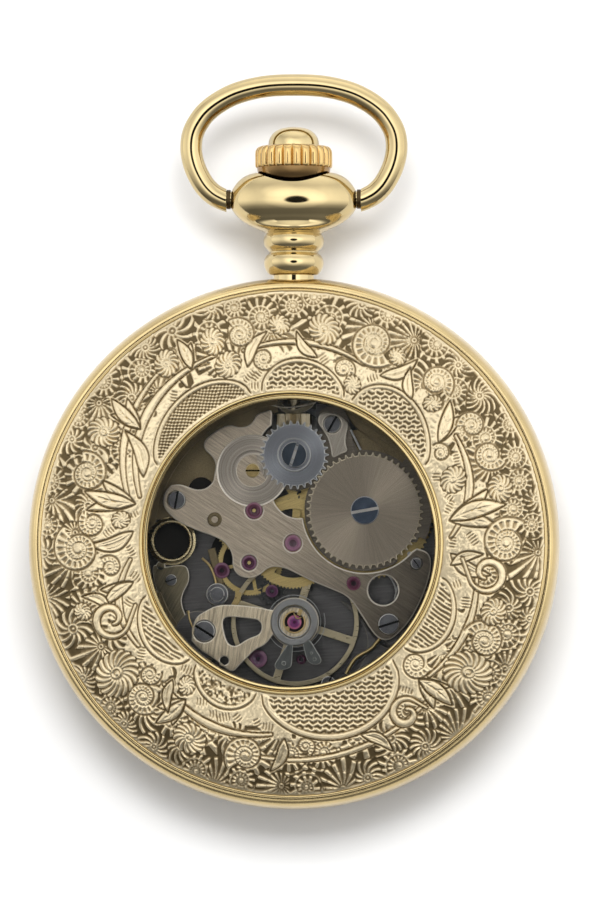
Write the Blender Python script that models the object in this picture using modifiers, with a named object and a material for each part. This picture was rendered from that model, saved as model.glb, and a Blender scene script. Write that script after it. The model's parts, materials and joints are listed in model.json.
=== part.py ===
# Hunter-case mechanical pocket watch, modelled as separate solids.
#
# Frame: origin on the case axis, at the centre of the flat medallion outside
# the front lid.  +Z runs up to the pendant (12 o'clock).  The display back
# faces -Y; the dial and the hinged front lid face +Y.  Dimensions are in
# millimetres; each finished solid is scaled to metres when it is placed.
#
# Most pieces are drawn in a "back frame": x to the right and y up as seen from
# the back of the watch, and height h growing out of the back, with h = 0 on
# the stem plane.  Pieces on the stem axis are drawn "standing": along world
# axes, with their profile heights measured along Z.

import bpy
import bmesh
import math
from mathutils import Matrix

# ------------------------------------------------------------ dimensions (mm)
MM = 0.001
CASE_R = 23.5            # outer radius of the band
COVER_R = 22.48          # edge of the back cover
WINDOW_R = 12.5          # clear radius of the display window
SEAM_H = -2.53           # seam between band and front lid
LID_TOP_H = -6.80        # flat medallion on the lid
REST_H = -LID_TOP_H      # distance from the origin to the stem plane
PLATE_R = 13.8           # movement main plate
DIAL_R = 20.3
PIVOT_Z = 30.5           # bow pivots, on the pendant ball
STEM_R = 0.55

# lid hinge at 6 o'clock, its axis along X
HINGE_Y, HINGE_H = -22.75, SEAM_H
KNUCKLE_R = 0.60
KNUCKLE_CLEAR_R = KNUCKLE_R + 0.07
LID_KNUCKLE_X = 1.70     # the lid knuckle spans the middle, to this x each side
BAND_KNUCKLE_X = (1.76, 3.60)
HINGE_BORE_R = 0.29
HINGE_PIN_R, HINGE_PIN_X = 0.24, 3.55

# lid catch at 12 o'clock and the notches that clear it
CATCH_X = (-1.8, 1.8)
CATCH_NOTCH_X = (-2.3, 2.3)

# movement stations: (x, y) in the back frame
BARREL = (6.35, 2.89)
CROWN_WHEEL = (0.12, 7.80)
CENTRE = (0.0, 0.0)
THIRD = (-3.43, 2.89)
FOURTH = (-3.86, -1.72)
ESCAPE = (-1.90, -4.22)
PALLET = (-0.86, -5.63)
BALANCE = (0.13, -6.96)
MINUTE = (-1.10, 2.92)
SETTING = (0.90, 5.96)
CLICK = (10.90, -1.80)
SET_LEVER = (3.47, 10.50)
YOKE = (-4.20, 9.40)
LEFT_SCREW = (-10.30, 3.82)
RIGHT_SCREW = (8.46, -7.13)
COCK_SCREW = (-7.82, -7.76)

# levels (h) of the movement, dial side to bridge side
PLATE_LO, PLATE_HI = -1.20, -0.20
RIM_HI = 1.04            # top of the plate's rim and bosses
BRIDGE_LO, BRIDGE_HI = 1.10, 1.90
SEAT_HI = 1.45           # top of the barrel bridge, under the winding wheels
SET_LEVER_BORE_R = 0.32

# tooth counts
N_BARREL, N_CENTRE_PINION = 78, 12
N_CENTRE, N_THIRD_PINION = 80, 10
N_THIRD, N_FOURTH_PINION = 75, 10
N_FOURTH, N_ESCAPE_PINION = 80, 8
N_ESCAPE = 15
N_RATCHET, N_CROWN_WHEEL, N_WINDING = 52, 30, 16
N_CANNON, N_MINUTE, N_MINUTE_PINION, N_HOUR, N_SETTING = 12, 36, 10, 40, 20
N_FLUTES = 24            # flutes around the crown

CASE_STEPS = 36          # steps around the case parts
SMALL_STEPS = 14         # steps around small parts
SPIRAL_TURNS, SPIRAL_STEPS = 4, 14   # turns, and points in each turn

WELD = 2e-4              # vertices closer than this are merged
COPLANAR = math.radians(0.02)
SHARP = math.radians(32.0)

# Finish: base colour, roughness, metallic, alpha
FINISHES = {
    "gold": ((0.86, 0.68, 0.36), 0.22, 1.0, 1.0),
    "brass": ((0.76, 0.60, 0.28), 0.35, 1.0, 1.0),
    "bridge_grey": ((0.44, 0.41, 0.37), 0.38, 1.0, 1.0),
    "dark_plate": ((0.16, 0.16, 0.165), 0.45, 1.0, 1.0),
    "ratchet_grey": ((0.30, 0.28, 0.25), 0.30, 1.0, 1.0),
    "blue_grey": ((0.19, 0.22, 0.27), 0.38, 1.0, 1.0),
    "steel": ((0.62, 0.62, 0.63), 0.22, 1.0, 1.0),
    "blued_steel": ((0.13, 0.16, 0.21), 0.28, 1.0, 1.0),
    "ruby": ((0.42, 0.05, 0.20), 0.10, 0.0, 1.0),
    "enamel": ((0.90, 0.89, 0.85), 0.35, 0.0, 1.0),
    "glass": ((0.95, 0.97, 0.97), 0.03, 0.0, 0.25),
}

# ----------------------------------------------------------------- clean file
for old in list(bpy.data.objects):
    bpy.data.objects.remove(old, do_unlink=True)
for old in list(bpy.data.collections):
    bpy.data.collections.remove(old)
PARTS = bpy.data.collections.new("pocket_watch")
bpy.context.scene.collection.children.link(PARTS)
WORK = bpy.data.collections.new("construction")
bpy.context.scene.collection.children.link(WORK)


def make_material(piece, finish):
    """A material for one piece, named after the piece and its finish."""
    colour, roughness, metallic, alpha = FINISHES[finish]
    mat = bpy.data.materials.new(piece + "_" + finish)
    mat.use_nodes = True
    inputs = mat.node_tree.nodes["Principled BSDF"].inputs
    inputs["Base Color"].default_value = (*colour, 1.0)
    inputs["Roughness"].default_value = roughness
    inputs["Metallic"].default_value = metallic
    inputs["Alpha"].default_value = alpha
    mat.diffuse_color = (*colour, alpha)
    return mat


# -------------------------------------------------------------- mesh utilities
def work_object(data):
    ob = bpy.data.objects.new("work", data)
    WORK.objects.link(ob)
    return ob


def bake(ob):
    """Replace a work object by its evaluated mesh: welded, triangulated,
    faces outward."""
    bpy.context.view_layer.update()
    depsgraph = bpy.context.evaluated_depsgraph_get()
    mesh = bpy.data.meshes.new_from_object(ob.evaluated_get(depsgraph))
    bm = bmesh.new()
    bm.from_mesh(mesh)
    bmesh.ops.remove_doubles(bm, verts=bm.verts, dist=WELD)
    bmesh.ops.dissolve_degenerate(bm, edges=bm.edges, dist=WELD)
    bmesh.ops.triangulate(bm, faces=bm.faces)
    bmesh.ops.recalc_face_normals(bm, faces=bm.faces)
    if bm.calc_volume(signed=True) < 0:
        bmesh.ops.reverse_faces(bm, faces=bm.faces)
    bm.to_mesh(mesh)
    bm.free()
    bpy.data.objects.remove(ob, do_unlink=True)
    return mesh


def boolean(base, tool, operation):
    base_ob, tool_ob = work_object(base), work_object(tool)
    tool_ob.hide_render = True
    modifier = base_ob.modifiers.new("bool", "BOOLEAN")
    modifier.operation = operation
    modifier.solver = "EXACT"
    modifier.object = tool_ob
    mesh = bake(base_ob)
    bpy.data.objects.remove(tool_ob, do_unlink=True)
    return mesh


def union(base, *tools):
    for tool in tools:
        base = boolean(base, tool, "UNION")
    return base


def cut(base, *tools):
    for tool in tools:
        base = boolean(base, tool, "DIFFERENCE")
    return base


def shifted(mesh, x=0.0, y=0.0, z=0.0):
    mesh.transform(Matrix.Translation((x, y, z)))
    return mesh


def rotated(mesh, angle, axis="Z"):
    mesh.transform(Matrix.Rotation(angle, 4, axis))
    return mesh


def turned(profile, steps=CASE_STEPS, closed=True):
    """A profile of (radius, height) points turned about the local Z axis.
    An open profile starts and ends on the axis."""
    mesh = bpy.data.meshes.new("profile")
    count = len(profile)
    edges = [(i, i + 1) for i in range(count - 1)]
    if closed:
        edges.append((count - 1, 0))
    mesh.from_pydata([(r, 0.0, h) for r, h in profile], edges, [])
    ob = work_object(mesh)
    screw = ob.modifiers.new("turn", "SCREW")
    screw.axis = "Z"
    screw.angle = 2.0 * math.pi
    screw.steps = steps
    screw.render_steps = steps
    screw.use_merge_vertices = True
    screw.merge_threshold = 0.00005
    return bake(ob)


def add_spline(curve, points, cyclic):
    spline = curve.splines.new("POLY")
    spline.points.add(len(points) - 1)
    for point, (x, y, z) in zip(spline.points, points):
        point.co = (x, y, z, 1.0)
    spline.use_cyclic_u = cyclic


def slab(loops, low, high):
    """Flat outlines (first the outer one, then holes) extruded low..high."""
    curve = bpy.data.curves.new("outline", "CURVE")
    curve.dimensions = "2D"
    curve.fill_mode = "BOTH"
    curve.extrude = (high - low) / 2.0
    for loop in loops:
        add_spline(curve, [(x, y, 0.0) for x, y in loop], cyclic=True)
    return shifted(bake(work_object(curve)), z=(low + high) / 2.0)


def wire(points, radius):
    """A round wire with capped ends through 3-D points."""
    curve = bpy.data.curves.new("wire", "CURVE")
    curve.dimensions = "3D"
    curve.bevel_depth = radius
    curve.bevel_resolution = 1
    curve.use_fill_caps = True
    add_spline(curve, points, cyclic=False)
    return bake(work_object(curve))


def triangulated(bm, name):
    mesh = bpy.data.meshes.new(name)
    bmesh.ops.triangulate(bm, faces=bm.faces)
    bm.to_mesh(mesh)
    bm.free()
    return mesh


def rod(radius, low, high, at=(0.0, 0.0), steps=SMALL_STEPS):
    """A cylinder along local Z."""
    bm = bmesh.new()
    bmesh.ops.create_cone(bm, cap_ends=True, cap_tris=False, segments=steps,
                          radius1=radius, radius2=radius, depth=high - low)
    bmesh.ops.translate(bm, verts=bm.verts, vec=(*at, (low + high) / 2.0))
    return triangulated(bm, "rod")


def rod_along_y(radius, low, high, steps):
    """A cylinder on the stem axis, in the back frame."""
    return rotated(rod(radius, low, high, steps=steps), math.radians(-90.0), "X")


def rod_along_x(radius, low, high, steps=SMALL_STEPS):
    return rotated(rod(radius, low, high, steps=steps), math.radians(90.0), "Y")


def hinge_rod(radius, low, high, steps=12):
    """A cylinder on the hinge axis, in the back frame."""
    return shifted(rod_along_x(radius, low, high, steps), y=HINGE_Y, z=HINGE_H)


def pivot_rods(radius, inner, outer, steps=SMALL_STEPS):
    """Cylinders on the bow pivots, right then left, in the standing frame."""
    return [shifted(rod_along_x(radius, low, high, steps), z=PIVOT_Z)
            for low, high in ((inner, outer), (-outer, -inner))]


def block(*spans):
    """A box from its (low, high) spans in x, y and height."""
    bm = bmesh.new()
    bmesh.ops.create_cube(bm, size=1.0)
    bmesh.ops.scale(bm, verts=bm.verts, vec=[high - low for low, high in spans])
    bmesh.ops.translate(bm, verts=bm.verts,
                        vec=[(low + high) / 2 for low, high in spans])
    return triangulated(bm, "block")


def tidy(mesh):
    """Merge coplanar facets left by the booleans, then triangulate again;
    the result is kept only if it is closed."""
    bm = bmesh.new()
    bm.from_mesh(mesh)
    bmesh.ops.dissolve_limit(bm, angle_limit=COPLANAR, verts=bm.verts,
                             edges=bm.edges, use_dissolve_boundaries=False)
    bmesh.ops.triangulate(bm, faces=bm.faces)
    if all(len(edge.link_faces) == 2 for edge in bm.edges):
        bm.to_mesh(mesh)
    bm.free()


def place(name, mesh, finish, at=(0.0, 0.0), level=0.0, standing=False,
          smooth=True):
    """Place one finished solid, in metres, with its origin at world x, z = at
    and height `level` in the back frame."""
    tidy(mesh)
    mesh.transform(Matrix.Scale(MM, 4))
    mesh.name = name
    ob = bpy.data.objects.new(name, mesh)
    PARTS.objects.link(ob)
    ob.location = (at[0] * MM, -(level + REST_H) * MM, at[1] * MM)
    if not standing:
        ob.rotation_euler = (math.radians(90.0), 0.0, 0.0)
    mesh.materials.clear()
    mesh.materials.append(make_material(name, finish))
    if smooth:
        mesh.shade_smooth()
        mesh.set_sharp_from_angle(angle=SHARP)


# ------------------------------------------------------------------- outlines
def circle(radius, count=SMALL_STEPS, at=(0.0, 0.0)):
    return [(at[0] + radius * math.cos(2 * math.pi * i / count),
             at[1] + radius * math.sin(2 * math.pi * i / count))
            for i in range(count)]


def arc(radius, start, end, count, at=(0.0, 0.0)):
    """Points on an arc between two angles in degrees."""
    angles = [math.radians(start + (end - start) * i / count)
              for i in range(count + 1)]
    return [(at[0] + radius * math.cos(a), at[1] + radius * math.sin(a))
            for a in angles]


def teeth(count, pitch_r, phase=0.0, addendum=0.45, dedendum=0.75):
    """Pointed teeth, one tip at `phase` (radians).  Addendum and dedendum are
    fractions of the module."""
    module = 2.0 * pitch_r / count
    tip, root = pitch_r + addendum * module, pitch_r - dedendum * module
    points = []
    for i in range(count):
        tip_a = phase + 2 * math.pi * i / count
        root_a = tip_a + math.pi / count
        points.append((tip * math.cos(tip_a), tip * math.sin(tip_a)))
        points.append((root * math.cos(root_a), root * math.sin(root_a)))
    return points


def direction(start, end):
    return math.atan2(end[1] - start[1], end[0] - start[0])


def mesh_phase(first_at, first_phase, first_n, second_at, second_n):
    """Phase of the second gear so its teeth stand in the gaps of the first."""
    line = direction(first_at, second_at)
    return (line + math.pi
            - ((first_phase - line) * first_n / second_n + math.pi / second_n))


def pitch_radii(first_at, second_at, first_n, second_n):
    distance = math.hypot(second_at[0] - first_at[0], second_at[1] - first_at[1])
    total = first_n + second_n
    return distance * first_n / total, distance * second_n / total


def windows(inner, outer, half_arm, phase, outer_points, count=4):
    """Openings between `count` straight arms, from radius inner to outer."""
    loops = []
    outer_gap, inner_gap = math.asin(half_arm / outer), math.asin(half_arm / inner)
    for i in range(count):
        start = phase + 2 * math.pi * i / count
        end = start + 2 * math.pi / count
        loop = []
        for k in range(outer_points):
            a = (start + outer_gap
                 + (end - start - 2 * outer_gap) * k / (outer_points - 1))
            loop.append((outer * math.cos(a), outer * math.sin(a)))
        for a in (end - inner_gap, start + inner_gap):
            loop.append((inner * math.cos(a), inner * math.sin(a)))
        loops.append(loop)
    return loops


def spiral(start_r, end_r, half_width, phase=0.0):
    """Closed outline of a flat spiral strip."""
    count = SPIRAL_TURNS * SPIRAL_STEPS
    outer, inner = [], []
    for i in range(count + 1):
        t = i / count
        a = phase + SPIRAL_TURNS * 2 * math.pi * t
        r = start_r + (end_r - start_r) * t
        for side, edge in ((half_width, outer), (-half_width, inner)):
            edge.append(((r + side) * math.cos(a), (r + side) * math.sin(a)))
    return outer + inner[::-1]


def smooth_path(stations, per_span):
    """Catmull-Rom points through a list of 2-D stations."""
    path = []
    last = len(stations) - 1
    for i in range(last):
        neighbours = (stations[max(i - 1, 0)], stations[i], stations[i + 1],
                      stations[min(i + 2, last)])
        for k in range(per_span):
            t = k / per_span
            path.append(tuple(
                0.5 * (2 * b + (-a + c) * t
                       + (2 * a - 5 * b + 4 * c - d) * t * t
                       + (-a + 3 * b - 3 * c + d) * t ** 3)
                for a, b, c, d in zip(*neighbours)))
    path.append(stations[-1])
    return path


# ================================================================= CASE PARTS
# Profiles are (radius, h) in the back frame.

# Band: a ring with a back seat and a front seat, bored at 12 o'clock for the
# pendant foot, with two hinge knuckles at 6 o'clock.
BAND_PROFILE = [
    (21.90, 2.66), (22.62, 2.70), (23.12, 2.20), (23.44, 1.00),
    (CASE_R, 0.0), (23.36, -1.40), (23.00, -2.50), (22.00, -2.50),
    (22.00, -1.20), (20.90, -1.20), (20.90, 1.42), (21.90, 1.42)]
knuckle_in, knuckle_out = BAND_KNUCKLE_X
band = cut(turned(BAND_PROFILE), rod_along_y(1.90, 20.0, 24.5, 20),
           hinge_rod(KNUCKLE_CLEAR_R, -knuckle_in, knuckle_in))
band = union(band, hinge_rod(KNUCKLE_R, knuckle_in, knuckle_out),
             hinge_rod(KNUCKLE_R, -knuckle_out, -knuckle_in))
band = cut(band, hinge_rod(HINGE_BORE_R, -4.0, 4.0, 8))
place("case_band", band, "gold")

# Back cover: a shallow dome with a hole for the window bezel.
COVER_PROFILE = [
    (13.20, 5.30), (16.00, 5.13), (18.80, 4.60), (21.00, 3.72),
    (COVER_R, 2.86), (COVER_R, 2.75), (21.86, 2.75), (21.86, 1.50),
    (21.40, 1.50), (21.40, 2.55), (18.80, 3.95), (13.20, 4.66)]
place("back_cover", turned(COVER_PROFILE), "gold")

# Window bezel and its flat glass.
WINDOW_BEZEL_PROFILE = [
    (WINDOW_R, 5.40), (12.80, 5.60), (13.22, 5.60), (13.45, 5.36),
    (13.15, 5.36), (13.15, 4.20), (12.95, 4.20), (12.95, 5.20), (WINDOW_R, 5.20)]
place("window_bezel", turned(WINDOW_BEZEL_PROFILE), "gold")
BACK_GLASS_PROFILE = [(0.0, 5.16), (12.86, 5.16), (12.86, 4.56), (0.0, 4.56)]
place("back_glass", turned(BACK_GLASS_PROFILE, closed=False), "glass")

# Front lid: a domed shell with a flat medallion and the middle hinge knuckle.
# Its origin is on the hinge axis.
LID_PROFILE = [
    (0.0, -6.10), (9.0, -6.08), (15.5, -5.52), (20.0, -4.25),
    (22.15, -2.56), (23.0, -2.56), (23.1, -2.85), (21.4, -4.25),
    (18.6, -5.42), (14.6, -6.34), (9.2, -6.74), (9.0, LID_TOP_H),
    (0.0, LID_TOP_H)]
lid = cut(turned(LID_PROFILE, closed=False),
          block((-4.4, 4.4), (-24.5, HINGE_Y + 0.03), (-7.2, -2.0)),
          hinge_rod(KNUCKLE_CLEAR_R, LID_KNUCKLE_X, 4.4),
          hinge_rod(KNUCKLE_CLEAR_R, -4.4, -LID_KNUCKLE_X))
lid = union(lid, hinge_rod(KNUCKLE_R, -LID_KNUCKLE_X, LID_KNUCKLE_X))
lid = cut(lid, hinge_rod(HINGE_BORE_R, -4.0, 4.0, 8))
place("front_lid", shifted(lid, y=-HINGE_Y, z=-HINGE_H), "gold",
      at=(0.0, HINGE_Y), level=HINGE_H)
place("lid_hinge_pin", hinge_rod(HINGE_PIN_R, -HINGE_PIN_X, HINGE_PIN_X, 8),
      "steel")

# Front bezel ring around the crystal, notched for the lid catch.
FRONT_BEZEL_PROFILE = [
    (20.6, -1.27), (21.6, -1.27), (21.6, -2.60), (21.0, -3.30),
    (19.75, -3.92), (19.75, -3.45), (19.2, -3.45), (19.2, -2.42), (20.6, -2.42)]
front_bezel = cut(turned(FRONT_BEZEL_PROFILE),
                  block(CATCH_NOTCH_X, (20.15, 22.5), (-4.2, -1.0)))
place("front_bezel", front_bezel, "gold")
CRYSTAL_PROFILE = [(0.0, -3.95), (11.0, -3.82), (19.62, -3.50),
                   (19.62, -3.86), (11.0, -4.28), (0.0, -4.45)]
place("front_crystal", turned(CRYSTAL_PROFILE, closed=False), "glass")

# Lid spring (6 o'clock) and lid catch (12 o'clock), in the band's front seat.
lid_spring = slab([arc(21.86, -128.0, -52.0, 14) + arc(21.66, -52.0, -128.0, 14)],
                  -2.35, -1.35)
place("lid_spring", lid_spring, "steel")
lid_catch = union(block(CATCH_X, (21.30, 21.66), (-2.70, -1.36)),
                  block((-0.9, 0.9), (21.35, 21.58), (-2.88, -2.60)),
                  block(CATCH_X, (21.05, 21.40), (-1.75, -1.38)))
place("lid_catch", lid_catch, "steel", smooth=False)

# =========================================== PENDANT, BOW, CROWN AND STEM
# Standing pieces: profiles are (radius, z).

# Pendant: foot, two beads and the ball, bored for the stem and bow pivots.
PENDANT_PROFILE = [
    (1.10, 31.90), (2.20, 32.20), (3.00, 32.85), (3.90, 32.72),
    (5.00, 32.05), (5.70, 30.60), (5.30, 29.30), (4.00, 28.15),
    (2.50, 27.50), (2.62, 26.80), (2.18, 25.75), (2.60, 24.80),
    (2.30, 23.80), (1.80, 23.70), (1.80, 22.05), (1.10, 22.05)]
pendant = cut(turned(PENDANT_PROFILE, steps=20), *pivot_rods(0.76, 4.45, 6.2))
place("pendant", pendant, "gold", standing=True)

# Bow: a round wire with two pivot studs, its origin midway between the pivots.
# Right half of the centre line, (x, z) from the pivot up to the top.
BOW_HALF = [(6.02, 30.42), (6.95, 30.90), (7.96, 31.80), (8.72, 33.10),
            (9.10, 35.10), (8.72, 36.90), (7.54, 38.50), (4.83, 40.04),
            (2.63, 40.55), (0.00, 40.67)]
bow_path = smooth_path(BOW_HALF + [(-x, z) for x, z in BOW_HALF[-2::-1]], 2)
bow = wire([(x, 0.0, z) for x, z in bow_path], 0.975)
bow = cut(bow, block((-5.97, 5.97), (-2.0, 2.0), (29.0, 32.2)))
bow = union(bow, *pivot_rods(0.70, 4.60, 6.70, 16))
place("bow", shifted(bow, z=-PIVOT_Z), "gold", at=(0.0, PIVOT_Z), standing=True)

# Crown: fluted ring with a bowl underside, a sleeve and a recessed top.
CROWN_PROFILE = [
    (2.32, 35.20), (3.10, 35.20), (3.10, 33.36), (1.90, 32.50), (1.00, 32.30),
    (1.00, 24.20), (0.47, 24.20), (0.47, 34.00), (2.32, 34.00)]
flutes = slab([teeth(N_FLUTES, 3.30, addendum=0.47, dedendum=0.55),
               circle(2.75, 16)], 33.45, 35.05)
place("crown", union(turned(CROWN_PROFILE, steps=24), flutes), "gold",
      standing=True)

# Crown button: a domed head on a long shank.
BUTTON_PROFILE = [
    (0.0, 36.90), (1.20, 36.64), (1.95, 35.95), (2.20, 35.20), (2.20, 34.86),
    (0.41, 34.86), (0.41, 26.60), (0.0, 26.60)]
place("crown_button", turned(BUTTON_PROFILE, steps=20, closed=False), "gold",
      standing=True)

# Winding stem with its setting groove and pilot.
STEM_PROFILE = [
    (0.0, 24.10), (0.80, 24.10), (0.80, 14.20), (STEM_R, 14.00),
    (STEM_R, 12.36), (0.34, 12.36), (0.34, 11.84), (STEM_R, 11.84),
    (STEM_R, 10.00), (0.42, 9.96), (0.42, 7.05), (0.0, 7.05)]
place("winding_stem", turned(STEM_PROFILE, steps=12, closed=False), "steel",
      standing=True)

# Winding pinion and grooved sliding pinion, both around the stem.
winding_pinion = slab([teeth(N_WINDING, 1.46, math.pi / 2, 0.70, 0.9),
                       circle(0.62, 12)], 10.05, 11.45)
place("winding_pinion", winding_pinion, "steel", standing=True)
SLIDING_PINION_PROFILE = [
    (0.50, 9.96), (1.02, 9.96), (1.02, 9.40), (0.66, 9.36),
    (0.66, 8.64), (1.02, 8.60), (1.02, 8.05), (0.50, 8.05)]
place("sliding_pinion", turned(SLIDING_PINION_PROFILE, steps=14), "steel",
      standing=True)

# ============================================================== MOVEMENT FRAME
# Casing ring around the movement, drilled for the stem, notched for the catch.
RING_PROFILE = [(13.90, 1.00), (20.50, 1.00), (20.50, -1.98), (13.90, -1.98)]
casing_ring = cut(turned(RING_PROFILE), rod_along_y(1.30, 13.0, 21.6, 16),
                  block(CATCH_NOTCH_X, (20.2, 21.5), (-2.2, -1.15)))
place("movement_ring", casing_ring, "brass")

# Main plate: a disc with a raised rim, three bosses and the yoke's post.
PLATE_PROFILE = [
    (0.90, PLATE_HI), (13.35, PLATE_HI), (13.35, RIM_HI),
    (PLATE_R, RIM_HI), (PLATE_R, PLATE_LO), (0.90, PLATE_LO)]
# boss radius, centre, steps
PLATE_BOSSES = [(2.15, (-8.35, -8.10), 14),
                (1.30, LEFT_SCREW, 12),
                (1.10, (9.00, -8.00), 12)]
plate = union(turned(PLATE_PROFILE),
              *[rod(radius, PLATE_HI - 0.3, RIM_HI, at, steps)
                for radius, at, steps in PLATE_BOSSES])
plate = cut(plate,
            block((-1.95, 1.95), (6.90, 14.2), (-1.5, 1.5)),     # stem slot
            block((-6.4, 6.4), (6.8, 12.7), (-1.5, -0.62)),      # keyless recess
            rod(SET_LEVER_BORE_R, -1.5, 2.0, SET_LEVER, 8),
            rod(1.56, -2.0, 2.0, (-10.75, 0.23), 16))            # hole at left
plate = union(plate, rod(0.24, -1.05, -0.50, YOKE, 8))
place("main_plate", plate, "dark_plate")

# Dial, between the casing ring and the front bezel.
DIAL_PROFILE = [(1.12, -2.05), (DIAL_R, -2.05), (DIAL_R, -2.36), (1.12, -2.36)]
place("dial", turned(DIAL_PROFILE), "enamel")

# Train bridge: one plate over the train, its outline (x, y) interrupted by
# clearance arcs around the ratchet and crown wheels.
BRIDGE_BELOW = [         # left screw, lower edge, to the right of the ratchet
    (-10.75, 5.14), (-11.43, 4.04), (-11.43, 3.19), (-10.92, 2.52),
    (-10.07, 1.84), (-8.38, 1.08), (-7.37, 0.74), (-6.35, 0.32),
    (-5.76, -0.19), (-5.33, -1.04), (-5.33, -2.05), (-5.00, -2.73),
    (-4.32, -3.07), (-3.47, -3.07), (-2.79, -2.73), (-2.29, -2.22),
    (-1.61, -2.05), (-0.59, -2.22), (0.59, -2.82), (1.78, -3.41),
    (3.47, -4.09), (4.66, -4.59), (5.33, -5.27), (6.01, -6.29),
    (6.86, -7.64), (7.53, -8.40), (8.21, -8.60), (8.90, -8.35),
    (10.20, -7.05), (11.30, -5.10), (12.00, -3.20), (12.25, -1.60),
    (11.90, -0.75), (10.92, -0.45)]
BRIDGE_BETWEEN = [(0.08, 2.21), (-0.76, 2.52), (-1.50, 3.30), (-1.69, 3.79)]
BRIDGE_UPPER_LEFT = [    # from the crown wheel back to the left screw
    (-1.78, 11.83), (-2.46, 11.66), (-3.22, 11.41), (-3.47, 10.81),
    (-3.98, 10.31), (-4.83, 10.22), (-5.50, 10.48), (-6.35, 10.22),
    (-7.20, 9.63), (-7.87, 9.04), (-7.87, 8.27), (-7.11, 7.68),
    (-6.77, 6.92), (-6.94, 6.07), (-7.03, 5.40), (-7.70, 4.80),
    (-8.55, 4.72), (-9.23, 4.97), (-9.91, 5.23)]
RATCHET_CLEAR_R, CROWN_CLEAR_R = 5.50, 3.30
bridge_outline = (BRIDGE_BELOW + arc(RATCHET_CLEAR_R, -41.0, -173.0, 16, BARREL)
                  + BRIDGE_BETWEEN
                  + arc(CROWN_CLEAR_R, 238.0, 127.0, 10, CROWN_WHEEL)
                  + BRIDGE_UPPER_LEFT)
train_bridge = slab([bridge_outline,
                     circle(0.75, 14, THIRD), circle(0.75, 14, CENTRE),
                     circle(0.66, 12, FOURTH),
                     circle(1.32, 16, (7.96, -4.13))], BRIDGE_LO, BRIDGE_HI)
# radius, low, high, centre, steps
BRIDGE_CUTS = [
    (3.20, 1.72, 2.3, (-3.56, 6.41), 20),    # shallow round recess
    (0.84, 1.42, 2.3, LEFT_SCREW, 12),       # screw head seats
    (0.96, 1.42, 2.3, RIGHT_SCREW, 12),
    (0.42, 0.9, 2.3, LEFT_SCREW, 8),         # screw shank holes
    (0.42, 0.9, 2.3, RIGHT_SCREW, 8),
    (0.54, 1.50, 2.3, CLICK, 12),            # click screw head
    (2.60, 0.9, 1.62, (10.60, -1.30), 12)]   # room for the click
place("train_bridge", cut(train_bridge, *[rod(*row) for row in BRIDGE_CUTS]),
      "bridge_grey")

# Barrel bridge: the lower layer under the ratchet and crown wheels.  Its three
# parts have slightly different levels so that no faces coincide.
BARREL_BRIDGE_TAB = [(2.6, 6.2), (6.0, 7.6), (5.2, 9.2), (4.9, 11.2),
                     (4.2, 12.1), (2.9, 12.1), (2.15, 11.4), (2.4, 10.2),
                     (3.0, 9.0)]
barrel_bridge = union(
    slab([circle(5.34, 28, BARREL)], BRIDGE_LO, SEAT_HI),
    slab([circle(3.14, 18, CROWN_WHEEL)], BRIDGE_LO + 0.01, SEAT_HI - 0.01),
    slab([BARREL_BRIDGE_TAB], BRIDGE_LO + 0.005, SEAT_HI - 0.005))
barrel_bridge = cut(barrel_bridge,
                    block((-2.0, 2.3), (9.9, 13.0), (0.5, 2.0)),
                    rod(1.05, 0.5, 2.0, BARREL, 20),
                    rod(0.70, 0.5, 2.0, CROWN_WHEEL, 12),
                    rod(SET_LEVER_BORE_R, 0.5, 2.0, SET_LEVER, 8),
                    block((9.2, 11.2), (-1.6, 0.1), (0.5, 2.2)))
place("barrel_bridge", barrel_bridge, "bridge_grey")

# Cover plate around the setting lever screw.
COVER_PLATE_OUTLINE = [
    (2.28, 11.33), (2.72, 11.61), (3.40, 11.58), (3.96, 11.39), (4.77, 10.84),
    (4.95, 10.34), (4.70, 9.52), (4.64, 8.80), (4.89, 8.10), (4.20, 7.85),
    (3.45, 7.45), (3.37, 8.29), (3.15, 9.16), (2.78, 9.84), (2.18, 10.60)]
cover_plate = slab([COVER_PLATE_OUTLINE, circle(0.80, 12, SET_LEVER)],
                   SEAT_HI + 0.01, BRIDGE_HI)
place("cover_plate", cover_plate, "bridge_grey")

# ============================================================== WINDING GROUP
# Ratchet wheel and crown wheel; the crown wheel has a gap over the stem.
WINDING_TEETH = {"addendum": 0.80, "dedendum": 0.95}
ratchet_pitch_r, crown_pitch_r = pitch_radii(BARREL, CROWN_WHEEL,
                                             N_RATCHET, N_CROWN_WHEEL)
crown_phase = math.pi / 2 + math.pi / N_CROWN_WHEEL
ratchet_phase = mesh_phase(CROWN_WHEEL, crown_phase, N_CROWN_WHEEL,
                           BARREL, N_RATCHET)
ratchet = slab([teeth(N_RATCHET, ratchet_pitch_r, ratchet_phase, **WINDING_TEETH),
                circle(0.62, 12)], 1.50, 1.86)
place("ratchet_wheel", ratchet, "ratchet_grey", at=BARREL)
crown_wheel = slab([teeth(N_CROWN_WHEEL, crown_pitch_r, crown_phase,
                          **WINDING_TEETH), circle(0.90, 14)], 1.52, 1.88)
place("crown_wheel", crown_wheel, "blue_grey", at=CROWN_WHEEL)
place("crown_wheel_seat", slab([circle(0.84, 16), circle(0.40, 12)], 1.46, 1.90),
      "steel", at=CROWN_WHEEL)

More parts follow.
